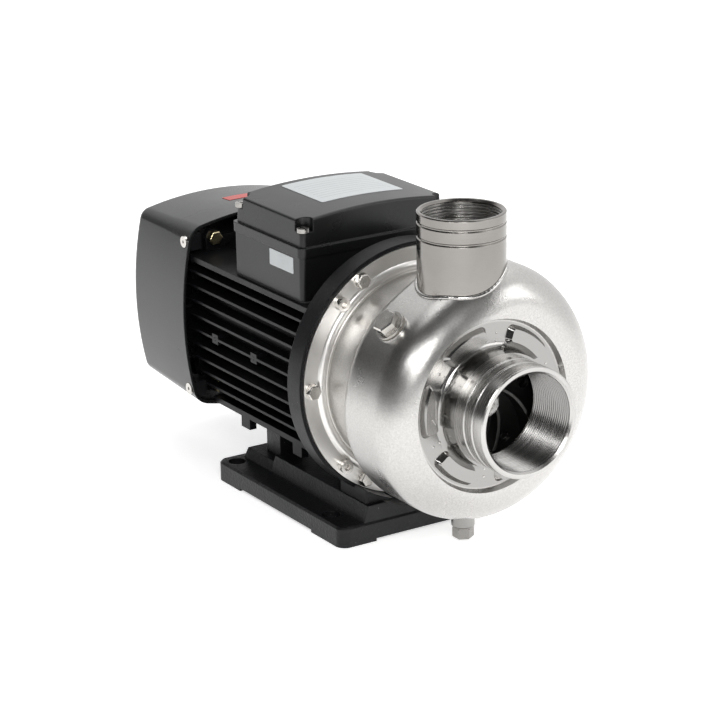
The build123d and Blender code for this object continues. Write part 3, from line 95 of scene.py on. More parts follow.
# Pressed marks on the recessed face: distance from the shaft, and angle from the y axis in degrees
DIMPLE_REACHES = (48 * MM, 54 * MM)
DIMPLE_ANGLES = (24, 84, 144, 204, 264, 324)
DIMPLE_RADIUS = 1.1 * MM
DIMPLE_SQUASH = 0.35
ARROW_REACH = 50 * MM
ARROW_ANGLE = 174
ARROW_LENGTH = 18 * MM
ARROW_BARB = 6 * MM
ARROW_BARB_ANGLE = 38
ARROW_SECTION = (0.8 * MM, 1.0 * MM)

# Plates: parts that each side is cut into, how far outside the surface they are dropped from, and how far
# above it they lie
PLATE_PARTS = 16
PLATE_START = 0.03
PLATE_LIFT = 0.02 * MM

# Name, place, width and height of each lamp; its power is the studio's property of that name
LAMPS = (
    ("key", (1.55, -0.85, 1.05), 0.7, 0.7),
    ("rim", (0.9, -1.35, 1.15), 0.3, 0.3),
    ("fill", (1.5, 1.1, 0.9), 0.8, 1.0),
    ("top", (-0.3, 0.2, 1.7), 1.4, 1.0),
)
LAMP_AIM = Vector((0.05, 0, 0.12))

# Direction of the darker side of the room, and where the pale backdrop fades into it
DARK_SIDE = (0.35, -0.93, 0.10)
DARK_FROM, DARK_TO = -0.16, 0.15

FLOOR_RADIUS = 12.0
FLOOR_GLOW = 0.6

# Camera: angles in degrees, the rest in millimetres
CAMERA_TURN, CAMERA_RISE, CAMERA_ROLL = 57.6467, 18.2668, -0.9921
CAMERA_AIM = (78.627, -45.923, 135.640)
CAMERA_DISTANCE = 2063.68
CAMERA_LENS = 140.12
CAMERA_SENSOR = 36.0


class PumpSizes(bpy.types.PropertyGroup):
    """Sizes of the pieces that are made here."""

    suction_pitch: bpy.props.FloatProperty(
        name="Suction thread pitch", description="Pitch of the 2 1/2 inch pipe thread",
        default=2.309 * MM, unit="LENGTH", precision=5)
    discharge_pitch: bpy.props.FloatProperty(
        name="Discharge thread pitch", description="Pitch of the 2 inch pipe thread",
        default=2.309 * MM, unit="LENGTH", precision=5)
    thread_depth: bpy.props.FloatProperty(
        name="Thread depth", description="Height of a thread from crest to root",
        default=1.25 * MM, unit="LENGTH", precision=5)
    weld_radius: bpy.props.FloatProperty(
        name="Weld bead", description="Half width of the weld at the foot of the discharge tube",
        default=1.7 * MM, unit="LENGTH", precision=5)
    plate_height: bpy.props.FloatProperty(
        name="Plate thickness", description="Thickness of the bare plates on lid, box and cover",
        default=0.25 * MM, unit="LENGTH", precision=5)
    edge_round: bpy.props.FloatProperty(
        name="Cast edge radius", description="Radius that catches light along the edges of the castings",
        default=0.7 * MM, unit="LENGTH", precision=5)


class PumpColours(bpy.types.PropertyGroup):
    """Colours of the finishes."""

    steel: bpy.props.FloatVectorProperty(
        name="Stainless steel", description="Colour of the pressed and turned stainless steel",
        subtype="COLOR", size=3, min=0, max=1, default=(0.555, 0.545, 0.53))
    screw: bpy.props.FloatVectorProperty(
        name="Screws", description="Colour of the stainless screws and plugs",
        subtype="COLOR", size=3, min=0, max=1, default=(0.64, 0.62, 0.59))
    enamel: bpy.props.FloatVectorProperty(
        name="Black enamel", description="Colour of the painted castings",
        subtype="COLOR", size=3, min=0, max=1, default=(0.006, 0.006, 0.007))
    plastic: bpy.props.FloatVectorProperty(
        name="Black plastic", description="Colour of the moulded covers",
        subtype="COLOR", size=3, min=0, max=1, default=(0.012, 0.0125, 0.013))
    label: bpy.props.FloatVectorProperty(
        name="Bare plates", description="Colour of the bare white plates",
        subtype="COLOR", size=3, min=0, max=1, default=(0.62, 0.65, 0.66))
    red_label: bpy.props.FloatVectorProperty(
        name="Red plate", description="Colour of the bare red plate on the fan cover",
        subtype="COLOR", size=3, min=0, max=1, default=(0.62, 0.06, 0.05))


class PumpStudio(bpy.types.PropertyGroup):
    """Floor, backdrop and lamps."""

    floor: bpy.props.FloatVectorProperty(
        name="Floor", description="Colour of the floor",
        subtype="COLOR", size=3, min=0, max=1, default=(0.97, 0.97, 0.97))
    sky: bpy.props.FloatProperty(
        name="Backdrop light", description="Strength of the pale backdrop behind the pump",
        default=1.0, min=0, max=2)
    room: bpy.props.FloatProperty(
        name="Room light", description="Strength of the darker room on the camera's side",
        default=0.05, min=0, max=2)
    key: bpy.props.FloatProperty(
        name="Key lamp", description="Power of the soft lamp beside the camera", default=14.0, unit="POWER")
    fill: bpy.props.FloatProperty(
        name="Fill lamp", description="Power of the soft lamp on the right", default=5.0, unit="POWER")
    rim: bpy.props.FloatProperty(
        name="Rim lamp", description="Power of the small lamp on the left", default=3.0, unit="POWER")
    top: bpy.props.FloatProperty(
        name="Top lamp", description="Power of the soft lamp overhead", default=9.0, unit="POWER")


def sizes():
    return bpy.context.scene.pump_sizes


def colours():
    return bpy.context.scene.pump_colours


def studio():
    return bpy.context.scene.pump_studio


# Finishes

class Finish:
    """A material under construction: its shader and short ways to add nodes."""

    def __init__(self, name):
        self.material = bpy.data.materials.new(name)
        self.material.use_nodes = True
        self.tree = self.material.node_tree
        self.shader = self.tree.nodes["Principled BSDF"]
        self.place = self.add("ShaderNodeTexCoord").outputs["Object"]

    def add(self, kind, **values):
        node = self.tree.nodes.new(kind)
        for key, value in values.items():
            setattr(node, key, value)
        return node

    def link(self, source, target):
        self.tree.links.new(source, target)

    def set(self, **values):
        """Constants on the shader's own sockets."""
        for key, value in values.items():
            self.shader.inputs[key.replace("_", " ")].default_value = value
        return self

    def math(self, operation, first, second=0.0):
        node = self.add("ShaderNodeMath", operation=operation)
        for socket, value in zip(node.inputs, (first, second)):
            if isinstance(value, bpy.types.NodeSocket):
                self.link(value, socket)
            else:
                socket.default_value = value
        return node.outputs[0]

    def product(self, first, second):
        return self.math("MULTIPLY", first, second)

    def between(self, value, low, high):
        """1 where a value lies between two limits, otherwise 0."""
        return self.product(self.math("GREATER_THAN", value, low), self.math("LESS_THAN", value, high))

    def stretched(self, scale):
        """The object's coordinates, scaled along each axis."""
        node = self.add("ShaderNodeMapping")
        node.inputs["Scale"].default_value = scale
        self.link(self.place, node.inputs["Vector"])
        return node.outputs[0]

    def noise(self, scale, detail=3.0, roughness=0.5, source=None):
        node = self.add("ShaderNodeTexNoise")
        node.inputs["Scale"].default_value = scale
        node.inputs["Detail"].default_value = detail
        node.inputs["Roughness"].default_value = roughness
        self.link(source or self.place, node.inputs["Vector"])
        return node.outputs["Fac"]

    def wave(self, scale, distortion, **values):
        node = self.add("ShaderNodeTexWave", **values)
        node.inputs["Scale"].default_value = scale
        node.inputs["Distortion"].default_value = distortion
        self.link(self.place, node.inputs["Vector"])
        return node.outputs["Fac"]

    def span(self, value, low, high, to_low=0.0, to_high=1.0):
        """Maps one range to another and holds the result inside it."""
        node = self.add("ShaderNodeMapRange")
        node.clamp = True
        for socket, number in zip(node.inputs[1:5], (low, high, to_low, to_high)):
            socket.default_value = number
        self.link(value, node.inputs[0])
        return node.outputs[0]

    def blend(self, share, first, second):
        """A value between two others."""
        node = self.add("ShaderNodeMix", data_type="FLOAT")
        for socket, source in zip((node.inputs[0], node.inputs[2], node.inputs[3]), (share, first, second)):
            self.link(source, socket)
        return node.outputs[0]

    def mixture(self, share, second):
        """A colour mix with its second colour set."""
        node = self.add("ShaderNodeMix", data_type="RGBA")
        node.inputs[7].default_value = (*second, 1)
        self.link(share, node.inputs[0])
        return node

    def between_colours(self, share, first, second):
        node = self.mixture(share, second)
        node.inputs[6].default_value = (*first, 1)
        return node.outputs[2]

    def over(self, share, source, colour):
        """A colour laid over what another node gives."""
        node = self.mixture(share, colour)
        self.link(source, node.inputs[6])
        return node.outputs[2]

    def paint(self, source):
        self.link(source, self.shader.inputs["Base Color"])

    def tint(self, share, first, second):
        self.paint(self.between_colours(share, first, second))

    def rough(self, pattern, limits, smoothest, roughest):
        """Roughness that follows a pattern."""
        self.link(self.span(pattern, *limits, smoothest, roughest), self.shader.inputs["Roughness"])

    def rounded(self, radius):
        """Normal with its edges rounded, for a bump to stand on."""
        node = self.add("ShaderNodeBevel", samples=4)
        node.inputs["Radius"].default_value = radius
        return node.outputs["Normal"]

    def bump(self, height, distance, strength, under=None):
        node = self.add("ShaderNodeBump")
        node.inputs["Strength"].default_value = strength
        node.inputs["Distance"].default_value = distance
        self.link(height, node.inputs["Height"])
        if under is not None:
            self.link(under, node.inputs["Normal"])
        self.link(node.outputs["Normal"], self.shader.inputs["Normal"])


def shade(colour, factor):
    return tuple(min(1.0, channel * factor) for channel in colour)


def blasted_steel():
    """Bead-blasted sheet with a brushed neck and a polished recess; painted light on the flange, painted
    shade in the recess.
    """
    finish = Finish("blasted_steel").set(Metallic=1.0)
    parts = finish.add("ShaderNodeSeparateXYZ")
    finish.link(finish.place, parts.inputs[0])
    along, side = parts.outputs["X"], parts.outputs["Y"]
    height = finish.math("SUBTRACT", parts.outputs["Z"], SHAFT.z)
    square = finish.math("ADD", finish.product(side, side), finish.product(height, height))
    reach = finish.math("SQRT", square)
    front = finish.span(along, *NECK_END)
    recess = finish.product(finish.span(along, *RECESS_FLOOR), finish.span(reach, *RECESS_EDGE))
    blasted = finish.product(front, finish.math("SUBTRACT", 1.0, recess))
    cloud = finish.noise(22.0, 4.0, 0.55)
    grain = finish.noise(760.0, 2.0, 0.75)
    brushed = finish.noise(1.0, 3.0, 0.6, finish.stretched((900.0, 26.0, 26.0)))
    satin = finish.span(cloud, *MOST, 0.25, 0.33)
    bright = finish.span(brushed, *SOFTER, 0.30, 0.42)
    polished = finish.span(cloud, *MOST, 0.15, 0.21)
    rough = finish.blend(recess, finish.blend(front, bright, satin), polished)
    finish.link(rough, finish.shader.inputs["Roughness"])
    steel = colours().steel
    sheet = finish.between_colours(finish.span(grain, 0.36, 0.64), shade(steel, 0.90), shade(steel, 1.07))
    # Painted shade: the recess is coloured darker than the sheet round it.
    sheet = finish.over(recess, sheet, shade(steel, 0.62))
    # Painted light: the flange disc is coloured brighter than the sheet, standing for the brighter
    # reflection it shows.
    finish.paint(finish.over(finish.span(along, *FLANGE_FACE), sheet, shade(steel, 1.42)))
    relief = finish.product(grain, finish.span(blasted, 0.0, 1.0, 0.1, 1.0))
    finish.bump(relief, 0.00012, 0.8)
    return finish.material


def turned_steel(name, axis, roughness, factor=1.0, warmth=0.0, edge=0.5 * MM):
    """Bright steel with fine turning marks round an axis, and a warmer cast where it has been handled."""
    finish = Finish(name).set(Metallic=1.0)
    scale = [18.0, 18.0, 18.0]
    scale[axis] = 1300.0
    marks = finish.noise(1.0, 3.0, 0.6, finish.stretched(scale))
    cloud = finish.noise(30.0, 3.0, 0.5)
    finish.rough(marks, SOFTER, roughness - 0.05, roughness + 0.09)
    # A low factor paints shade into the steel's colour (tube, suction thread, drain boss, impeller).
    red, green, blue = shade(colours().steel, factor)
    steel = (red, green * (1 - warmth), blue * (1 - 2 * warmth))
    finish.tint(finish.span(cloud, *MOST), shade(steel, 0.92), shade(steel, 1.05))
    finish.bump(marks, 0.000016, 0.5, finish.rounded(edge))
    return finish.material


def screw_steel(name, colour, roughness=0.2):
    """Screws, plugs and other small steel pieces, bright with small scratches."""
    finish = Finish(name).set(Metallic=1.0)
    scratches = finish.noise(900.0, 4.0, 0.65)
    cloud = finish.noise(120.0, 2.0, 0.5)
    finish.rough(cloud, MOST, roughness - 0.05, roughness + 0.09)
    finish.tint(finish.span(cloud, *MOST), shade(colour, 0.88), shade(colour, 1.06))
    finish.bump(scratches, 0.00003, 0.5, finish.rounded(0.25 * MM))
    return finish.material


def enamel(name, roughness, grain_scale, grain_depth, factor, level):
    """Satin black enamel over a casting, with rounded edges that catch light."""
    finish = Finish(name).set(Specular_IOR_Level=level)
    cloud = finish.noise(35.0, 4.0, 0.6)
    grain = finish.noise(grain_scale, 3.0, 0.6)
    specks = finish.noise(700.0, 2.0, 0.5)
    finish.rough(cloud, MOST, roughness - 0.05, roughness + 0.07)
    finish.tint(finish.span(specks, 0.70, 0.78), shade(colours().enamel, factor), (0.10, 0.10, 0.10))
    finish.bump(grain, grain_depth, 0.6, finish.rounded(sizes().edge_round))
    return finish.material


def moulded(name, colour, roughness, edge=0.6 * MM):
    """Moulded plastic, rubber or ceramic with a fine even texture."""
    finish = Finish(name).set(Specular_IOR_Level=0.42)
    cloud = finish.noise(14.0, 3.0, 0.5)
    grain = finish.noise(900.0, 2.0, 0.5)
    finish.rough(cloud, MOST, roughness - 0.03, roughness + 0.05)
    finish.tint(finish.span(cloud, *MOST), shade(colour, 0.9), shade(colour, 1.12))
    finish.bump(grain, 0.00006, 0.5, finish.rounded(edge))
    return finish.material


def plain_metal(name, colour, roughness):
    """Machined or cast metal out of sight."""
    finish = Finish(name).set(Metallic=1.0)
    cloud = finish.noise(300.0, 3.0, 0.55)
    finish.rough(cloud, MOST, roughness - 0.06, roughness + 0.08)
    finish.tint(finish.span(cloud, *MOST), shade(colour, 0.88), shade(colour, 1.08))
    finish.bump(cloud, 0.00005, 0.4)
    return finish.material


def laminated(name, colour):
    """Stacked sheets, seen as fine lines across the shaft."""
    finish = Finish(name).set(Metallic=1.0)
    sheets = finish.wave(320.0, 0.0, wave_type="BANDS", bands_direction="X")
    finish.rough(sheets, SOFTER, 0.32, 0.5)
    finish.tint(sheets, shade(colour, 0.75), shade(colour, 1.1))
    finish.bump(sheets, 0.0001, 0.5)
    return finish.material


def wound(name, colour):
    """Enamelled copper wires, seen as fine strands."""
    finish = Finish(name).set(Metallic=0.8, Coat_Weight=0.5, Coat_Roughness=0.15)
    strands = finish.wave(180.0, 1.2, wave_type="RINGS", rings_direction="X")
    finish.rough(strands, (0.1, 0.9), 0.3, 0.45)
    finish.tint(strands, shade(colour, 0.6), shade(colour, 1.1))
    finish.bump(strands, 0.0003, 0.8)
    return finish.material


def plate_face(name, colour, rows=0, ink=None):
    """Bare plate, plain or with empty ruled rows, laid out on its own UV map."""
    finish = Finish(name).set(Specular_IOR_Level=0.45)
    cloud = finish.noise(60.0, 2.0, 0.5)
    finish.rough(cloud, MOST, 0.32, 0.4)
    if rows:
        parts = finish.add("ShaderNodeSeparateXYZ")
        finish.link(finish.add("ShaderNodeUVMap", uv_map="plate").outputs[0], parts.inputs[0])
        across, along = parts.outputs["X"], parts.outputs["Y"]
        step = finish.math("FRACT", finish.product(along, float(rows)))
        line = finish.math("LESS_THAN", step, 0.11)
        inside = finish.product(finish.between(along, 0.10, 0.90), finish.between(across, 0.07, 0.93))
        finish.tint(finish.product(line, inside), colour, ink)
    else:
        finish.tint(finish.span(cloud, *MOST), shade(colour, 0.94), shade(colour, 1.04))
    return finish.material


# Meshes

def wear(node_names, material):
    """Gives CAD nodes a finish."""
    for name in node_names:
        slots = nodes[name].data.materials
        slots.clear()
        slots.append(material)


def finished(bm, name, body, material, degrees):
    """Turns a bmesh into a piece that rides on a body, smooth up to an angle between faces."""
    mesh = bpy.data.meshes.new(name)
    bm.to_mesh(mesh)
    bm.free()
    mesh.materials.append(material)
    if "custom_normal" in mesh.attributes:
        mesh.attributes.remove(mesh.attributes["custom_normal"])
    mesh.shade_smooth()
    mesh.set_sharp_from_angle(angle=math.radians(degrees))
    piece = bpy.data.objects.new(name, mesh)
    bpy.context.scene.collection.objects.link(piece)
    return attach(piece, body)


def merged_copy(node_name):
    """A CAD node's mesh with its loose triangles joined."""
    bm = bmesh.new()
    bm.from_mesh(nodes[node_name].data)
    bmesh.ops.remove_doubles(bm, verts=bm.verts, dist=1e-6)
    return bm


def stand_for(node_name, name, body, material, degrees):
    """A smooth copy of a CAD node that takes its place."""
    piece = finished(merged_copy(node_name), name, body, material, degrees)
    even = piece.modifiers.new("even normals", "WEIGHTED_NORMAL")
    even.keep_sharp = True
    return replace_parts(piece, node_name)


def edges_of(items):
    """Edges of some faces, or at some vertices, each once and in the order they are met."""
    found = {}
    for item in items:
        for edge in item.edges if isinstance(item, bmesh.types.BMFace) else item.link_edges:
            found[edge] = None
    return list(found)


def joined_faces(edges):
    """Faces that hang together with some edges."""
    found = dict.fromkeys(face for edge in edges for face in edge.link_faces)
    waiting = list(found)
    while waiting:
        for edge in waiting.pop().edges:
            for face in edge.link_faces:
                if face not in found:
                    found[face] = None
                    waiting.append(face)
    return list(found)


def across_axis(point, axis, centre):
    """Distance of a point from a line through centre along x or z."""
    offset = point - centre
    offset[axis] = 0
    return offset.length


def cut_bore(bm, axis, centre, radius, low, high):
    """Opens the plain wall of a bore between two places along its axis."""
    wall = []
    for face in bm.faces:
        on_wall = all(abs(across_axis(vert.co, axis, centre) - radius) < BORE_SLACK for vert in face.verts)
        if on_wall and low < face.calc_center_median()[axis] < high:
            wall.append(face)
    bmesh.ops.delete(bm, geom=wall, context="FACES")


def thread_wall(bm, axis, centre, crest, low, high, pitch):
    """Inside thread: a row of teeth along the bore, swept one turn round with a rise of one pitch."""
    direction = Vector([1.0 if i == axis else 0.0 for i in range(3)])
    outwards = Vector((0, 0, 1)) if axis == X else Vector((1, 0, 0))
    depth = sizes().thread_depth
    line = []
    for turn in range(int((high - low) / pitch) + 3):
        for along, deep in TOOTH:
            spot = centre + outwards * (crest + depth * deep)
            spot[axis] = low + (turn - 2 + along) * pitch
            line.append(bm.verts.new(spot))
    edges = [bm.edges.new(pair) for pair in zip(line, line[1:])]
    bmesh.ops.spin(bm, geom=line + edges, cent=centre, axis=direction, dvec=direction * pitch / THREAD_STEPS,
                   angle=2 * math.pi, steps=THREAD_STEPS)
    faces = joined_faces(edges)
    for level, upper in ((low, False), (high, True)):
        point = centre.copy()
        point[axis] = level
        faces = [face for face in faces if face.is_valid]
        verts = list(dict.fromkeys(vert for face in faces for vert in face.verts))
        cut = bmesh.ops.bisect_plane(bm, geom=faces + edges_of(faces) + verts, plane_co=point,
                                     plane_no=direction, clear_outer=upper, clear_inner=not upper, dist=1e-7)
        faces = [item for item in cut["geom"] if isinstance(item, bmesh.types.BMFace)]
    outward = []
    for face in faces:
        if face.is_valid:
            face.material_index = 1
            offset = face.calc_center_median() - centre
            if offset.dot(face.normal) > offset.dot(direction) * face.normal.dot(direction):
                outward.append(face)
    bmesh.ops.reverse_faces(bm, faces=outward)


def flat_ring(bm, axis, centre, inner, level, towards):
    """Flat ring across a bore that closes the end of its thread."""
    place = centre.copy()
    place[axis] = level
    turn = Matrix.Rotation(math.radians(90), 4, "Y") if axis == X else Matrix.Identity(4)
    loops = []
    for radius in (inner, inner + THREAD_END_WIDTH):
        made = bmesh.ops.create_circle(bm, segments=THREAD_STEPS, radius=radius,
                                       matrix=Matrix.Translation(place) @ turn)
        loops += edges_of(made["verts"])
    faces = bmesh.ops.bridge_loops(bm, edges=loops)["faces"]
    bmesh.ops.recalc_face_normals(bm, faces=faces)
    if faces[0].normal[axis] * towards < 0:
        bmesh.ops.reverse_faces(bm, faces=faces)


def threaded(node_name, body, axis, centre, crest, ends, pitch, steel, thread_steel):
    """A copy of a CAD node with a real thread in its bore."""
    low, high = ends
    bm = merged_copy(node_name)
    cut_bore(bm, axis, centre, crest, low, high)
    thread_wall(bm, axis, centre, crest, low, high, pitch)
    flat_ring(bm, axis, centre, crest, low, 1)
    flat_ring(bm, axis, centre, crest, high, -1)
    piece = finished(bm, "threaded_" + node_name, body, steel, 20.0)
    piece.data.materials.append(thread_steel)
    return piece


def surface_of(node_name):
    """A CAD node's surface, to lay pieces on."""
    bm = bmesh.new()
    bm.from_mesh(nodes[node_name].data)
    tree = BVHTree.FromBMesh(bm)
    bm.free()
    return tree


def drop_on(tree, point, direction):
    """Where a ray from a point meets a surface, or nothing."""
    return tree.ray_cast(point, direction)[0]


def plate_on(name, node_name, centre, size, direction, up, corner, material):
    """Thin plate with round corners laid on a node's surface."""
    width, length = size
    across = direction.cross(up).normalized()
    along = across.cross(direction).normalized()
    tree = surface_of(node_name)
    bm = bmesh.new()
    made = bmesh.ops.create_grid(bm, x_segments=1, y_segments=1, size=0.5)
    bmesh.ops.scale(bm, vec=(width, length, 1), verts=bm.verts)
    bmesh.ops.bevel(bm, geom=made["verts"], offset=corner, segments=5, profile=0.5, affect="VERTICES",
                    material=-1)
    for part in range(1, PLATE_PARTS):
        for normal, extent in ((Vector((1, 0, 0)), width), (Vector((0, 1, 0)), length)):
            bmesh.ops.bisect_plane(bm, geom=list(bm.verts) + list(bm.edges) + list(bm.faces),
                                   plane_co=normal * extent * (part / PLATE_PARTS - 0.5), plane_no=normal,
                                   dist=1e-7)
    layout = bm.loops.layers.uv.new("plate")
    for face in bm.faces:
        for loop in face.loops:
            loop[layout].uv = (loop.vert.co.x / width + 0.5, loop.vert.co.y / length + 0.5)
    for vert in bm.verts:
        start = centre + across * vert.co.x + along * vert.co.y - direction * PLATE_START
        spot = drop_on(tree, start, direction)
        vert.co = (spot if spot is not None else start + direction * PLATE_START) - direction * PLATE_LIFT
    bmesh.ops.recalc_face_normals(bm, faces=bm.faces)
    if sum(face.normal.dot(direction) for face in bm.faces) > 0:
        bmesh.ops.reverse_faces(bm, faces=bm.faces)
    bmesh.ops.solidify(bm, geom=list(bm.faces), thickness=-sizes().plate_height)
    bmesh.ops.recalc_face_normals(bm, faces=bm.faces)
    return finished(bm, name, "body", material, 40.0)


# Pieces

class PUMP_OT_casing(bpy.types.Operator):
    """Pressed casing in bead-blasted steel, with the marks on its face"""

    bl_idname = "pump.casing"
    bl_label = "Casing"

    def execute(self, context):
        stand_for("pump_casing", "volute_casing", "body", blasted_steel(), 24.0)
        wear(["casing_cover"], turned_steel("cover_steel", X, 0.28))
        tree = surface_of("pump_casing")
        steel = screw_steel("pressed_mark_steel", colours().steel)
        self.dimples(tree, steel)
        self.arrow(tree, steel)
        return {"FINISHED"}

    def on_face(self, tree, radius, degrees):
        """Point on the recessed face at a distance and an angle from the shaft."""
        angle = math.radians(degrees)
        start = SHAFT + Vector((FACE_VIEW, radius * math.cos(angle), radius * math.sin(angle)))
        return drop_on(tree, start, Vector((-1, 0, 0)))

    def dimples(self, tree, steel):
        bm = bmesh.new()
        for angle in DIMPLE_ANGLES:
            for reach in DIMPLE_REACHES:
                spot = self.on_face(tree, reach, angle)
                place = Matrix.Translation(spot) @ Matrix.Diagonal((DIMPLE_SQUASH, 1, 1, 1))
                bmesh.ops.create_uvsphere(bm, u_segments=16, v_segments=8, radius=DIMPLE_RADIUS,
                                          matrix=place)
        finished(bm, "pressed_dimples", "body", steel, 60.0)

    def arrow(self, tree, steel):
        """Arrow for the direction of rotation, standing on one of the pads."""
        middle = self.on_face(tree, ARROW_REACH, ARROW_ANGLE)
        bm = bmesh.new()
        tip = Vector((0, 0, -ARROW_LENGTH / 2))
        strokes = ((ARROW_LENGTH, 0, Vector()), (ARROW_BARB, ARROW_BARB_ANGLE, tip),
                   (ARROW_BARB, -ARROW_BARB_ANGLE, tip))
        for length, tilt, shift in strokes:
            turn = Matrix.Rotation(math.radians(tilt), 4, "X")
            rise = Vector((0, 0, length / 2)) if tilt else Vector()
            size = Matrix.Diagonal((*ARROW_SECTION, length, 1))
            place = Matrix.Translation(shift) @ turn @ Matrix.Translation(rise) @ size
            bmesh.ops.create_cube(bm, size=1.0, matrix=place)
        for vert in bm.verts:
            start = Vector((FACE_VIEW, middle.y + vert.co.y, middle.z + vert.co.z))
            spot = drop_on(tree, start, Vector((-1, 0, 0)))
            vert.co += Vector((spot.x if spot is not None else middle.x, middle.y, middle.z))
        finished(bm, "rotation_arrow", "body", steel, 30.0)


class PUMP_OT_suction(bpy.types.Operator):
    """Suction collar with its inside thread"""

    bl_idname = "pump.suction"
    bl_label = "Suction collar"

    def execute(self, context):
        steel = turned_steel("collar_steel", X, 0.24, 0.95)
        # Painted shade: the thread inside the bore is coloured at half the steel's brightness.
        thread_steel = turned_steel("suction_thread_steel", X, 0.19, 0.50, edge=0.12 * MM)
        piece = threaded("suction_collar", "body", X, SHAFT, SUCTION_CREST, SUCTION_THREAD,
                         sizes().suction_pitch, steel, thread_steel)
        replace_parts(piece, "suction_collar")
        return {"FINISHED"}


class PUMP_OT_discharge(bpy.types.Operator):
    """Discharge tube with its inside thread and the weld at its foot"""

    bl_idname = "pump.discharge"
    bl_label = "Discharge tube"

    def execute(self, context):
        # Painted shade: the tube is coloured at half the steel's brightness, standing for the darker
        # surroundings it reflects.
        steel = turned_steel("tube_steel", Z, 0.17, 0.49, 0.03)
        thread_steel = turned_steel("discharge_thread_steel", Z, 0.24, 1.0, edge=0.3 * MM)
        piece = threaded("discharge_tube", "body", Z, DISCHARGE, DISCHARGE_CREST, DISCHARGE_THREAD,
                         sizes().discharge_pitch, steel, thread_steel)
        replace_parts(piece, "discharge_tube")
        self.weld()
        return {"FINISHED"}

    def weld(self):
        """Rippled bead that follows the volute round the tube."""
        tree = surface_of("pump_casing")
        bm = bmesh.new()
        place = Matrix.Translation(DISCHARGE + Vector((WELD_REACH, 0, 0)))
        place = place @ Matrix.Rotation(math.radians(90), 4, "X")
        made = bmesh.ops.create_circle(bm, segments=10, radius=sizes().weld_radius, matrix=place)
        bmesh.ops.spin(bm, geom=made["verts"] + edges_of(made["verts"]), cent=DISCHARGE,
                       axis=Vector((0, 0, 1)), angle=2 * math.pi, steps=WELD_STEPS, use_merge=True)
        bmesh.ops.remove_doubles(bm, verts=bm.verts, dist=1e-6)
        for vert in bm.verts:
            offset = vert.co - DISCHARGE
            angle = math.atan2(offset.y, offset.x)
            flat = Vector((math.cos(angle), math.sin(angle), 0))
            start = DISCHARGE + flat * (WELD_REACH + WELD_OUTSIDE) + Vector((0, 0, TOP_VIEW))
            spot = drop_on(tree, start, Vector((0, 0, -1)))
            level = spot.z if spot is not None else WELD_LEVEL
            ripple = 1.0 + WELD_RIPPLE_SHARE * math.sin(angle * WELD_RIPPLES)
            across = (offset.x * flat.x + offset.y * flat.y - WELD_REACH) * ripple
            height = level + WELD_RISE + offset.z * ripple
            vert.co = DISCHARGE + flat * (WELD_REACH + across) + Vector((0, 0, height))
        bmesh.ops.recalc_face_normals(bm, faces=bm.faces)
        steel = screw_steel("weld_steel", colours().steel)
        finished(bm, "discharge_weld", "body", steel, 60.0)


class PUMP_OT_plugs(bpy.types.Operator):
    """Priming and drain plugs with their bosses and washers"""

    bl_idname = "pump.plugs"
    bl_label = "Plugs"

    def execute(self, context):
        steel = colours().screw
        wear(["priming_plug"], screw_steel("plug_steel", steel, 0.17))
        wear(["priming_boss"], turned_steel("boss_steel", Z, 0.2))
        # Painted shade: the drain plug and its boss under the casing are coloured darker than the priming
        # ones.
        wear(["drain_plug"], screw_steel("drain_plug_steel", shade(steel, 0.42)))
        wear(["drain_boss"], turned_steel("drain_boss_steel", Z, 0.22, 0.6))
        wear(["priming_washer", "drain_washer"], moulded("washer_fibre", (0.20, 0.18, 0.15), 0.6))
        return {"FINISHED"}


class PUMP_OT_screws(bpy.types.Operator):
    """Screws and washers of the flange, bracket, base and covers"""

    bl_idname = "pump.screws"
    bl_label = "Screws"

    def execute(self, context):
        steel = colours().screw
        wear(["flange_hex_screws", "flange_washers", "flange_socket_screws", "fan_cover_screws",
              "frame_screws", "base_screws", "box_screws"], screw_steel("screw_steel", steel))
        # Painted shade: the lid screws are coloured darker than the other screws, toning down their bright
        # reflections.
        wear(["lid_screws"], screw_steel("lid_screw_steel", shade(steel, 0.6), 0.26))
        wear(["shield_bolts"], screw_steel("zinc_screw", (0.66, 0.58, 0.36), 0.28))
        return {"FINISHED"}


class PUMP_OT_castings(bpy.types.Operator):
    """Painted bracket, base plate, support and rear shield"""

    bl_idname = "pump.castings"
    bl_label = "Castings"

    def execute(self, context):
        wear(["motor_bracket"], enamel("bracket_enamel", 0.36, 420.0, 0.00018, 1.2, 0.22))
        wear(["base_plate", "rear_support", "rear_shield"],
             enamel("base_enamel", 0.34, 420.0, 0.0006, 1.2, 0.35))
        return {"FINISHED"}


class PUMP_OT_motor_frame(bpy.types.Operator):
    """Finned motor frame in black enamel"""

    bl_idname = "pump.motor_frame"
    bl_label = "Motor frame"

    def execute(self, context):
        wear(["motor_frame"], enamel("frame_enamel", 0.33, 500.0, 0.00012, 1.0, 0.2))
        return {"FINISHED"}


class PUMP_OT_fan(bpy.types.Operator):
    """Fan, its clip and its moulded cover"""

    bl_idname = "pump.fan"
    bl_label = "Fan and cover"

    def execute(self, context):
        plastic = moulded("cover_plastic", colours().plastic, 0.24, 1.2 * MM)
        stand_for("fan_cover", "moulded_fan_cover", "body", plastic, 28.0)
        wear(["cooling_fan"], moulded("fan_plastic", (0.02, 0.02, 0.021), 0.5))
        wear(["fan_clip"], screw_steel("clip_steel", (0.35, 0.35, 0.36), 0.35))
        return {"FINISHED"}


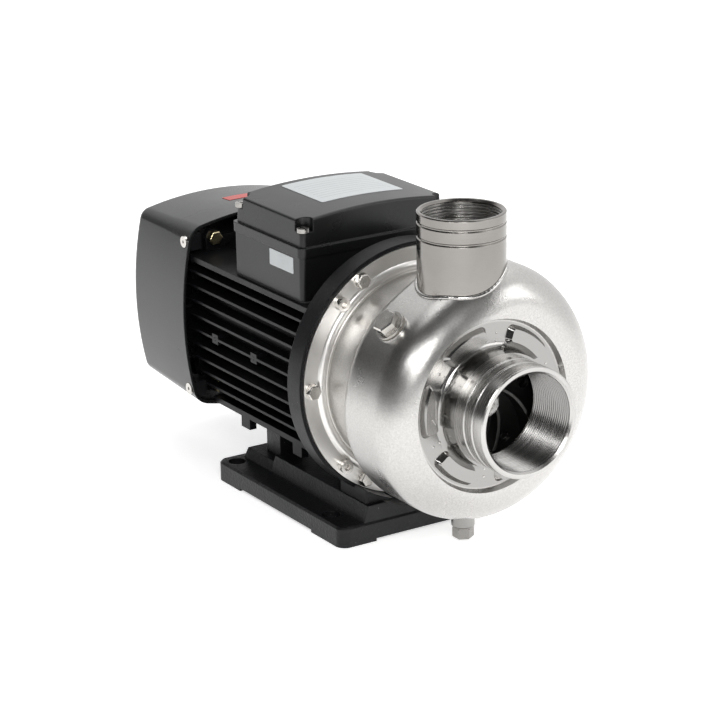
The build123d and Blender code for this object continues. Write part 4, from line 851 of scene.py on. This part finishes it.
class PUMP_OT_terminal_box(bpy.types.Operator):
    """Terminal box, lid, gasket and what is inside"""

    bl_idname = "pump.terminal_box"
    bl_label = "Terminal box"

    def execute(self, context):
        plastic = colours().plastic
        # Painted shade: the lid and the box are coloured darker than the fan cover's plastic.
        lid_plastic = moulded("lid_plastic", shade(plastic, 0.5), 0.27, 1.2 * MM)
        stand_for("terminal_lid", "arched_lid", "body", lid_plastic, 28.0)
        wear(["terminal_box"], moulded("box_plastic", shade(plastic, 0.4), 0.34))
        wear(["terminal_block"], moulded("block_plastic", (0.03, 0.03, 0.035), 0.45))
        wear(["box_gasket"], moulded("gasket_rubber", (0.05, 0.05, 0.05), 0.7))
        wear(["terminal_studs"], plain_metal("stud_brass", (0.78, 0.60, 0.30), 0.25))
        wear(["capacitor"], moulded("capacitor_case", (0.75, 0.75, 0.73), 0.35))
        wear(["capacitor_clamp"], screw_steel("clamp_steel", (0.55, 0.55, 0.54), 0.3))
        return {"FINISHED"}


class PUMP_OT_gland(bpy.types.Operator):
    """Cable gland with its rubber sleeve"""

    bl_idname = "pump.gland"
    bl_label = "Cable gland"

    def execute(self, context):
        wear(["gland_body", "gland_nut"], moulded("gland_plastic", (0.03, 0.03, 0.031), 0.45))
        wear(["gland_seal"], moulded("gland_rubber", (0.02, 0.02, 0.02), 0.75))
        return {"FINISHED"}


class PUMP_OT_wet_end(bpy.types.Operator):
    """Impeller, its fastening and the shaft seal"""

    bl_idname = "pump.wet_end"
    bl_label = "Impeller and seal"

    def execute(self, context):
        # Painted shade: the impeller sits in shadow inside the casing's eye, so its steel is coloured near
        # black.
        wear(["impeller"], turned_steel("impeller_steel", X, 0.40, 0.17))
        wear(["impeller_screw", "impeller_washer", "impeller_key"],
             screw_steel("impeller_screw_steel", (0.80, 0.79, 0.77), 0.25))
        wear(["seal_seat"], moulded("seal_ceramic", (0.62, 0.60, 0.55), 0.2))
        wear(["seal_head"], moulded("seal_carbon", (0.03, 0.03, 0.033), 0.35))
        wear(["seal_spring"], screw_steel("spring_steel", (0.5, 0.5, 0.5), 0.25))
        wear(["seal_cord", "slinger"], moulded("black_rubber", (0.018, 0.018, 0.018), 0.7))
        return {"FINISHED"}


class PUMP_OT_motor_inside(bpy.types.Operator):
    """Stator, rotor, shaft and bearings"""

    bl_idname = "pump.motor_inside"
    bl_label = "Inside of the motor"

    def execute(self, context):
        wear(["stator_core", "rotor_core"], laminated("core_steel", (0.36, 0.37, 0.39)))
        wear(["stator_windings"], wound("winding_copper", (0.62, 0.26, 0.12)))
        wear(["rotor_end_rings"], plain_metal("ring_aluminium", (0.74, 0.75, 0.76), 0.4))
        wear(["motor_shaft"], turned_steel("shaft_steel", X, 0.2))
        wear(["front_bearing_outer", "front_bearing_inner", "rear_bearing_outer", "rear_bearing_inner"],
             turned_steel("race_steel", X, 0.15))
        wear(["front_bearing_balls", "rear_bearing_balls"],
             plain_metal("ball_steel", (0.72, 0.72, 0.73), 0.1))
        wear(["front_bearing_cage", "rear_bearing_cage"], moulded("cage_nylon", (0.45, 0.38, 0.26), 0.45))
        return {"FINISHED"}


class PUMP_OT_plates(bpy.types.Operator):
    """Bare plates on the lid, the terminal box and the fan cover"""

    bl_idname = "pump.plates"
    bl_label = "Bare plates"

    def execute(self, context):
        white = colours().label
        down, inwards = Vector((0, 0, -1)), Vector((0, 1, 0))
        ruled = plate_face("lid_plate_face", white, 11, (0.40, 0.42, 0.43))
        plate_on("lid_plate", "terminal_lid", Vector((-0.0255, 0.0065, 0.250)), (0.073, 0.060),
                 down, Vector((1, 0, 0)), 2.0 * MM, ruled)
        plate_on("box_plate", "terminal_box", Vector((0.004, -0.067, 0.1975)), (0.034, 0.0125),
                 inwards, Vector((0, 0, 1)), 1.0 * MM, plate_face("box_plate_face", shade(white, 1.2)))
        plate_on("cover_plate", "fan_cover", Vector((-0.1735, 0.0155, 0.225)), (0.055, 0.0125),
                 down, Vector((1, 0, 0)), 1.0 * MM, plate_face("cover_plate_face", colours().red_label))
        return {"FINISHED"}


class PUMP_OT_studio(bpy.types.Operator):
    """Pale floor, soft lamps and the camera"""

    bl_idname = "pump.studio"
    bl_label = "Studio"

    def execute(self, context):
        self.floor()
        self.room()
        for row in LAMPS:
            self.lamp(*row)
        self.camera()
        context.scene.view_settings.view_transform = "Standard"
        return {"FINISHED"}

    def floor(self):
        """Floor that takes the pump's shadow and looks white to the camera and in reflections."""
        bm = bmesh.new()
        bmesh.ops.create_circle(bm, cap_ends=True, segments=64, radius=FLOOR_RADIUS)
        mesh = bpy.data.meshes.new("floor")
        bm.to_mesh(mesh)
        bm.free()
        floor = bpy.data.objects.new("floor", mesh)
        bpy.context.scene.collection.objects.link(floor)
        finish = Finish("floor_paper").set(Roughness=0.9, Specular_IOR_Level=0.1)
        finish.set(Base_Color=(*studio().floor, 1), Emission_Color=(1, 1, 1, 1))
        path = finish.add("ShaderNodeLightPath")
        seen = finish.math("MAXIMUM", path.outputs["Is Camera Ray"], path.outputs["Is Glossy Ray"])
        seen = finish.math("MAXIMUM", seen, path.outputs["Is Transmission Ray"])
        finish.link(finish.product(seen, FLOOR_GLOW), finish.shader.inputs["Emission Strength"])
        mesh.materials.append(finish.material)

    def room(self):
        """Pale backdrop that fades into a darker room on the camera's side."""
        world = bpy.data.worlds.new("room")
        bpy.context.scene.world = world
        world.use_nodes = True
        tree = world.node_tree
        add, link = tree.nodes.new, tree.links.new
        towards = add("ShaderNodeVectorMath")
        towards.operation = "DOT_PRODUCT"
        towards.inputs[1].default_value = DARK_SIDE
        link(add("ShaderNodeTexCoord").outputs["Generated"], towards.inputs[0])
        darker = add("ShaderNodeMapRange")
        darker.interpolation_type = "SMOOTHSTEP"
        darker.inputs["From Min"].default_value = DARK_FROM
        darker.inputs["From Max"].default_value = DARK_TO
        darker.inputs["To Min"].default_value = studio().sky
        darker.inputs["To Max"].default_value = studio().room
        link(towards.outputs["Value"], darker.inputs["Value"])
        back = tree.nodes["Background"]
        link(darker.outputs[0], back.inputs["Strength"])
        back.inputs["Color"].default_value = (1, 1, 1, 1)

    def lamp(self, name, place, width, height):
        data = bpy.data.lights.new(name, "AREA")
        data.shape = "RECTANGLE"
        data.size, data.size_y = width, height
        data.energy = getattr(studio(), name)
        lamp = bpy.data.objects.new(name, data)
        lamp.location = place
        lamp.rotation_euler = (LAMP_AIM - Vector(place)).to_track_quat("-Z", "Y").to_euler()
        bpy.context.scene.collection.objects.link(lamp)

    def camera(self):
        turn, rise, roll = (math.radians(angle) for angle in (CAMERA_TURN, CAMERA_RISE, CAMERA_ROLL))
        right = Vector((math.cos(turn), math.sin(turn), 0))
        back = Vector((math.sin(turn) * math.cos(rise), -math.cos(turn) * math.cos(rise), math.sin(rise)))
        up = back.cross(right)
        right, up = (math.cos(roll) * right + math.sin(roll) * up,
                     -math.sin(roll) * right + math.cos(roll) * up)
        data = bpy.data.cameras.new("camera")
        data.lens = CAMERA_LENS
        data.sensor_width = CAMERA_SENSOR
        data.sensor_fit = "HORIZONTAL"
        data.clip_end = 50
        camera = bpy.data.objects.new("camera", data)
        spot = Vector(CAMERA_AIM) * MM + back * CAMERA_DISTANCE * MM
        camera.matrix_world = Matrix.Translation(spot) @ Matrix((right, up, back)).transposed().to_4x4()
        bpy.context.scene.collection.objects.link(camera)
        bpy.context.scene.camera = camera


OPERATORS = (
    PUMP_OT_studio,
    PUMP_OT_casing,
    PUMP_OT_suction,
    PUMP_OT_discharge,
    PUMP_OT_plugs,
    PUMP_OT_screws,
    PUMP_OT_castings,
    PUMP_OT_motor_frame,
    PUMP_OT_fan,
    PUMP_OT_terminal_box,
    PUMP_OT_gland,
    PUMP_OT_wet_end,
    PUMP_OT_motor_inside,
    PUMP_OT_plates,
)


class PUMP_PT_panel(bpy.types.Panel):
    """Buttons for each piece of the pump"""

    bl_label = "Booster pump"
    bl_idname = "PUMP_PT_panel"
    bl_space_type = "VIEW_3D"
    bl_region_type = "UI"
    bl_category = "Pump"

    def draw(self, context):
        for operator in OPERATORS:
            self.layout.operator(operator.bl_idname)


CLASSES = (PumpSizes, PumpColours, PumpStudio, *OPERATORS, PUMP_PT_panel)


def register():
    for entry in CLASSES:
        bpy.utils.register_class(entry)
    bpy.types.Scene.pump_sizes = bpy.props.PointerProperty(type=PumpSizes)
    bpy.types.Scene.pump_colours = bpy.props.PointerProperty(type=PumpColours)
    bpy.types.Scene.pump_studio = bpy.props.PointerProperty(type=PumpStudio)


def unregister():
    del bpy.types.Scene.pump_studio
    del bpy.types.Scene.pump_colours
    del bpy.types.Scene.pump_sizes
    for entry in reversed(CLASSES):
        bpy.utils.unregister_class(entry)


def main():
    register()
    for operator in OPERATORS:
        group, name = operator.bl_idname.split(".")
        getattr(getattr(bpy.ops, group), name)()


if __name__ == "__main__":
    main()
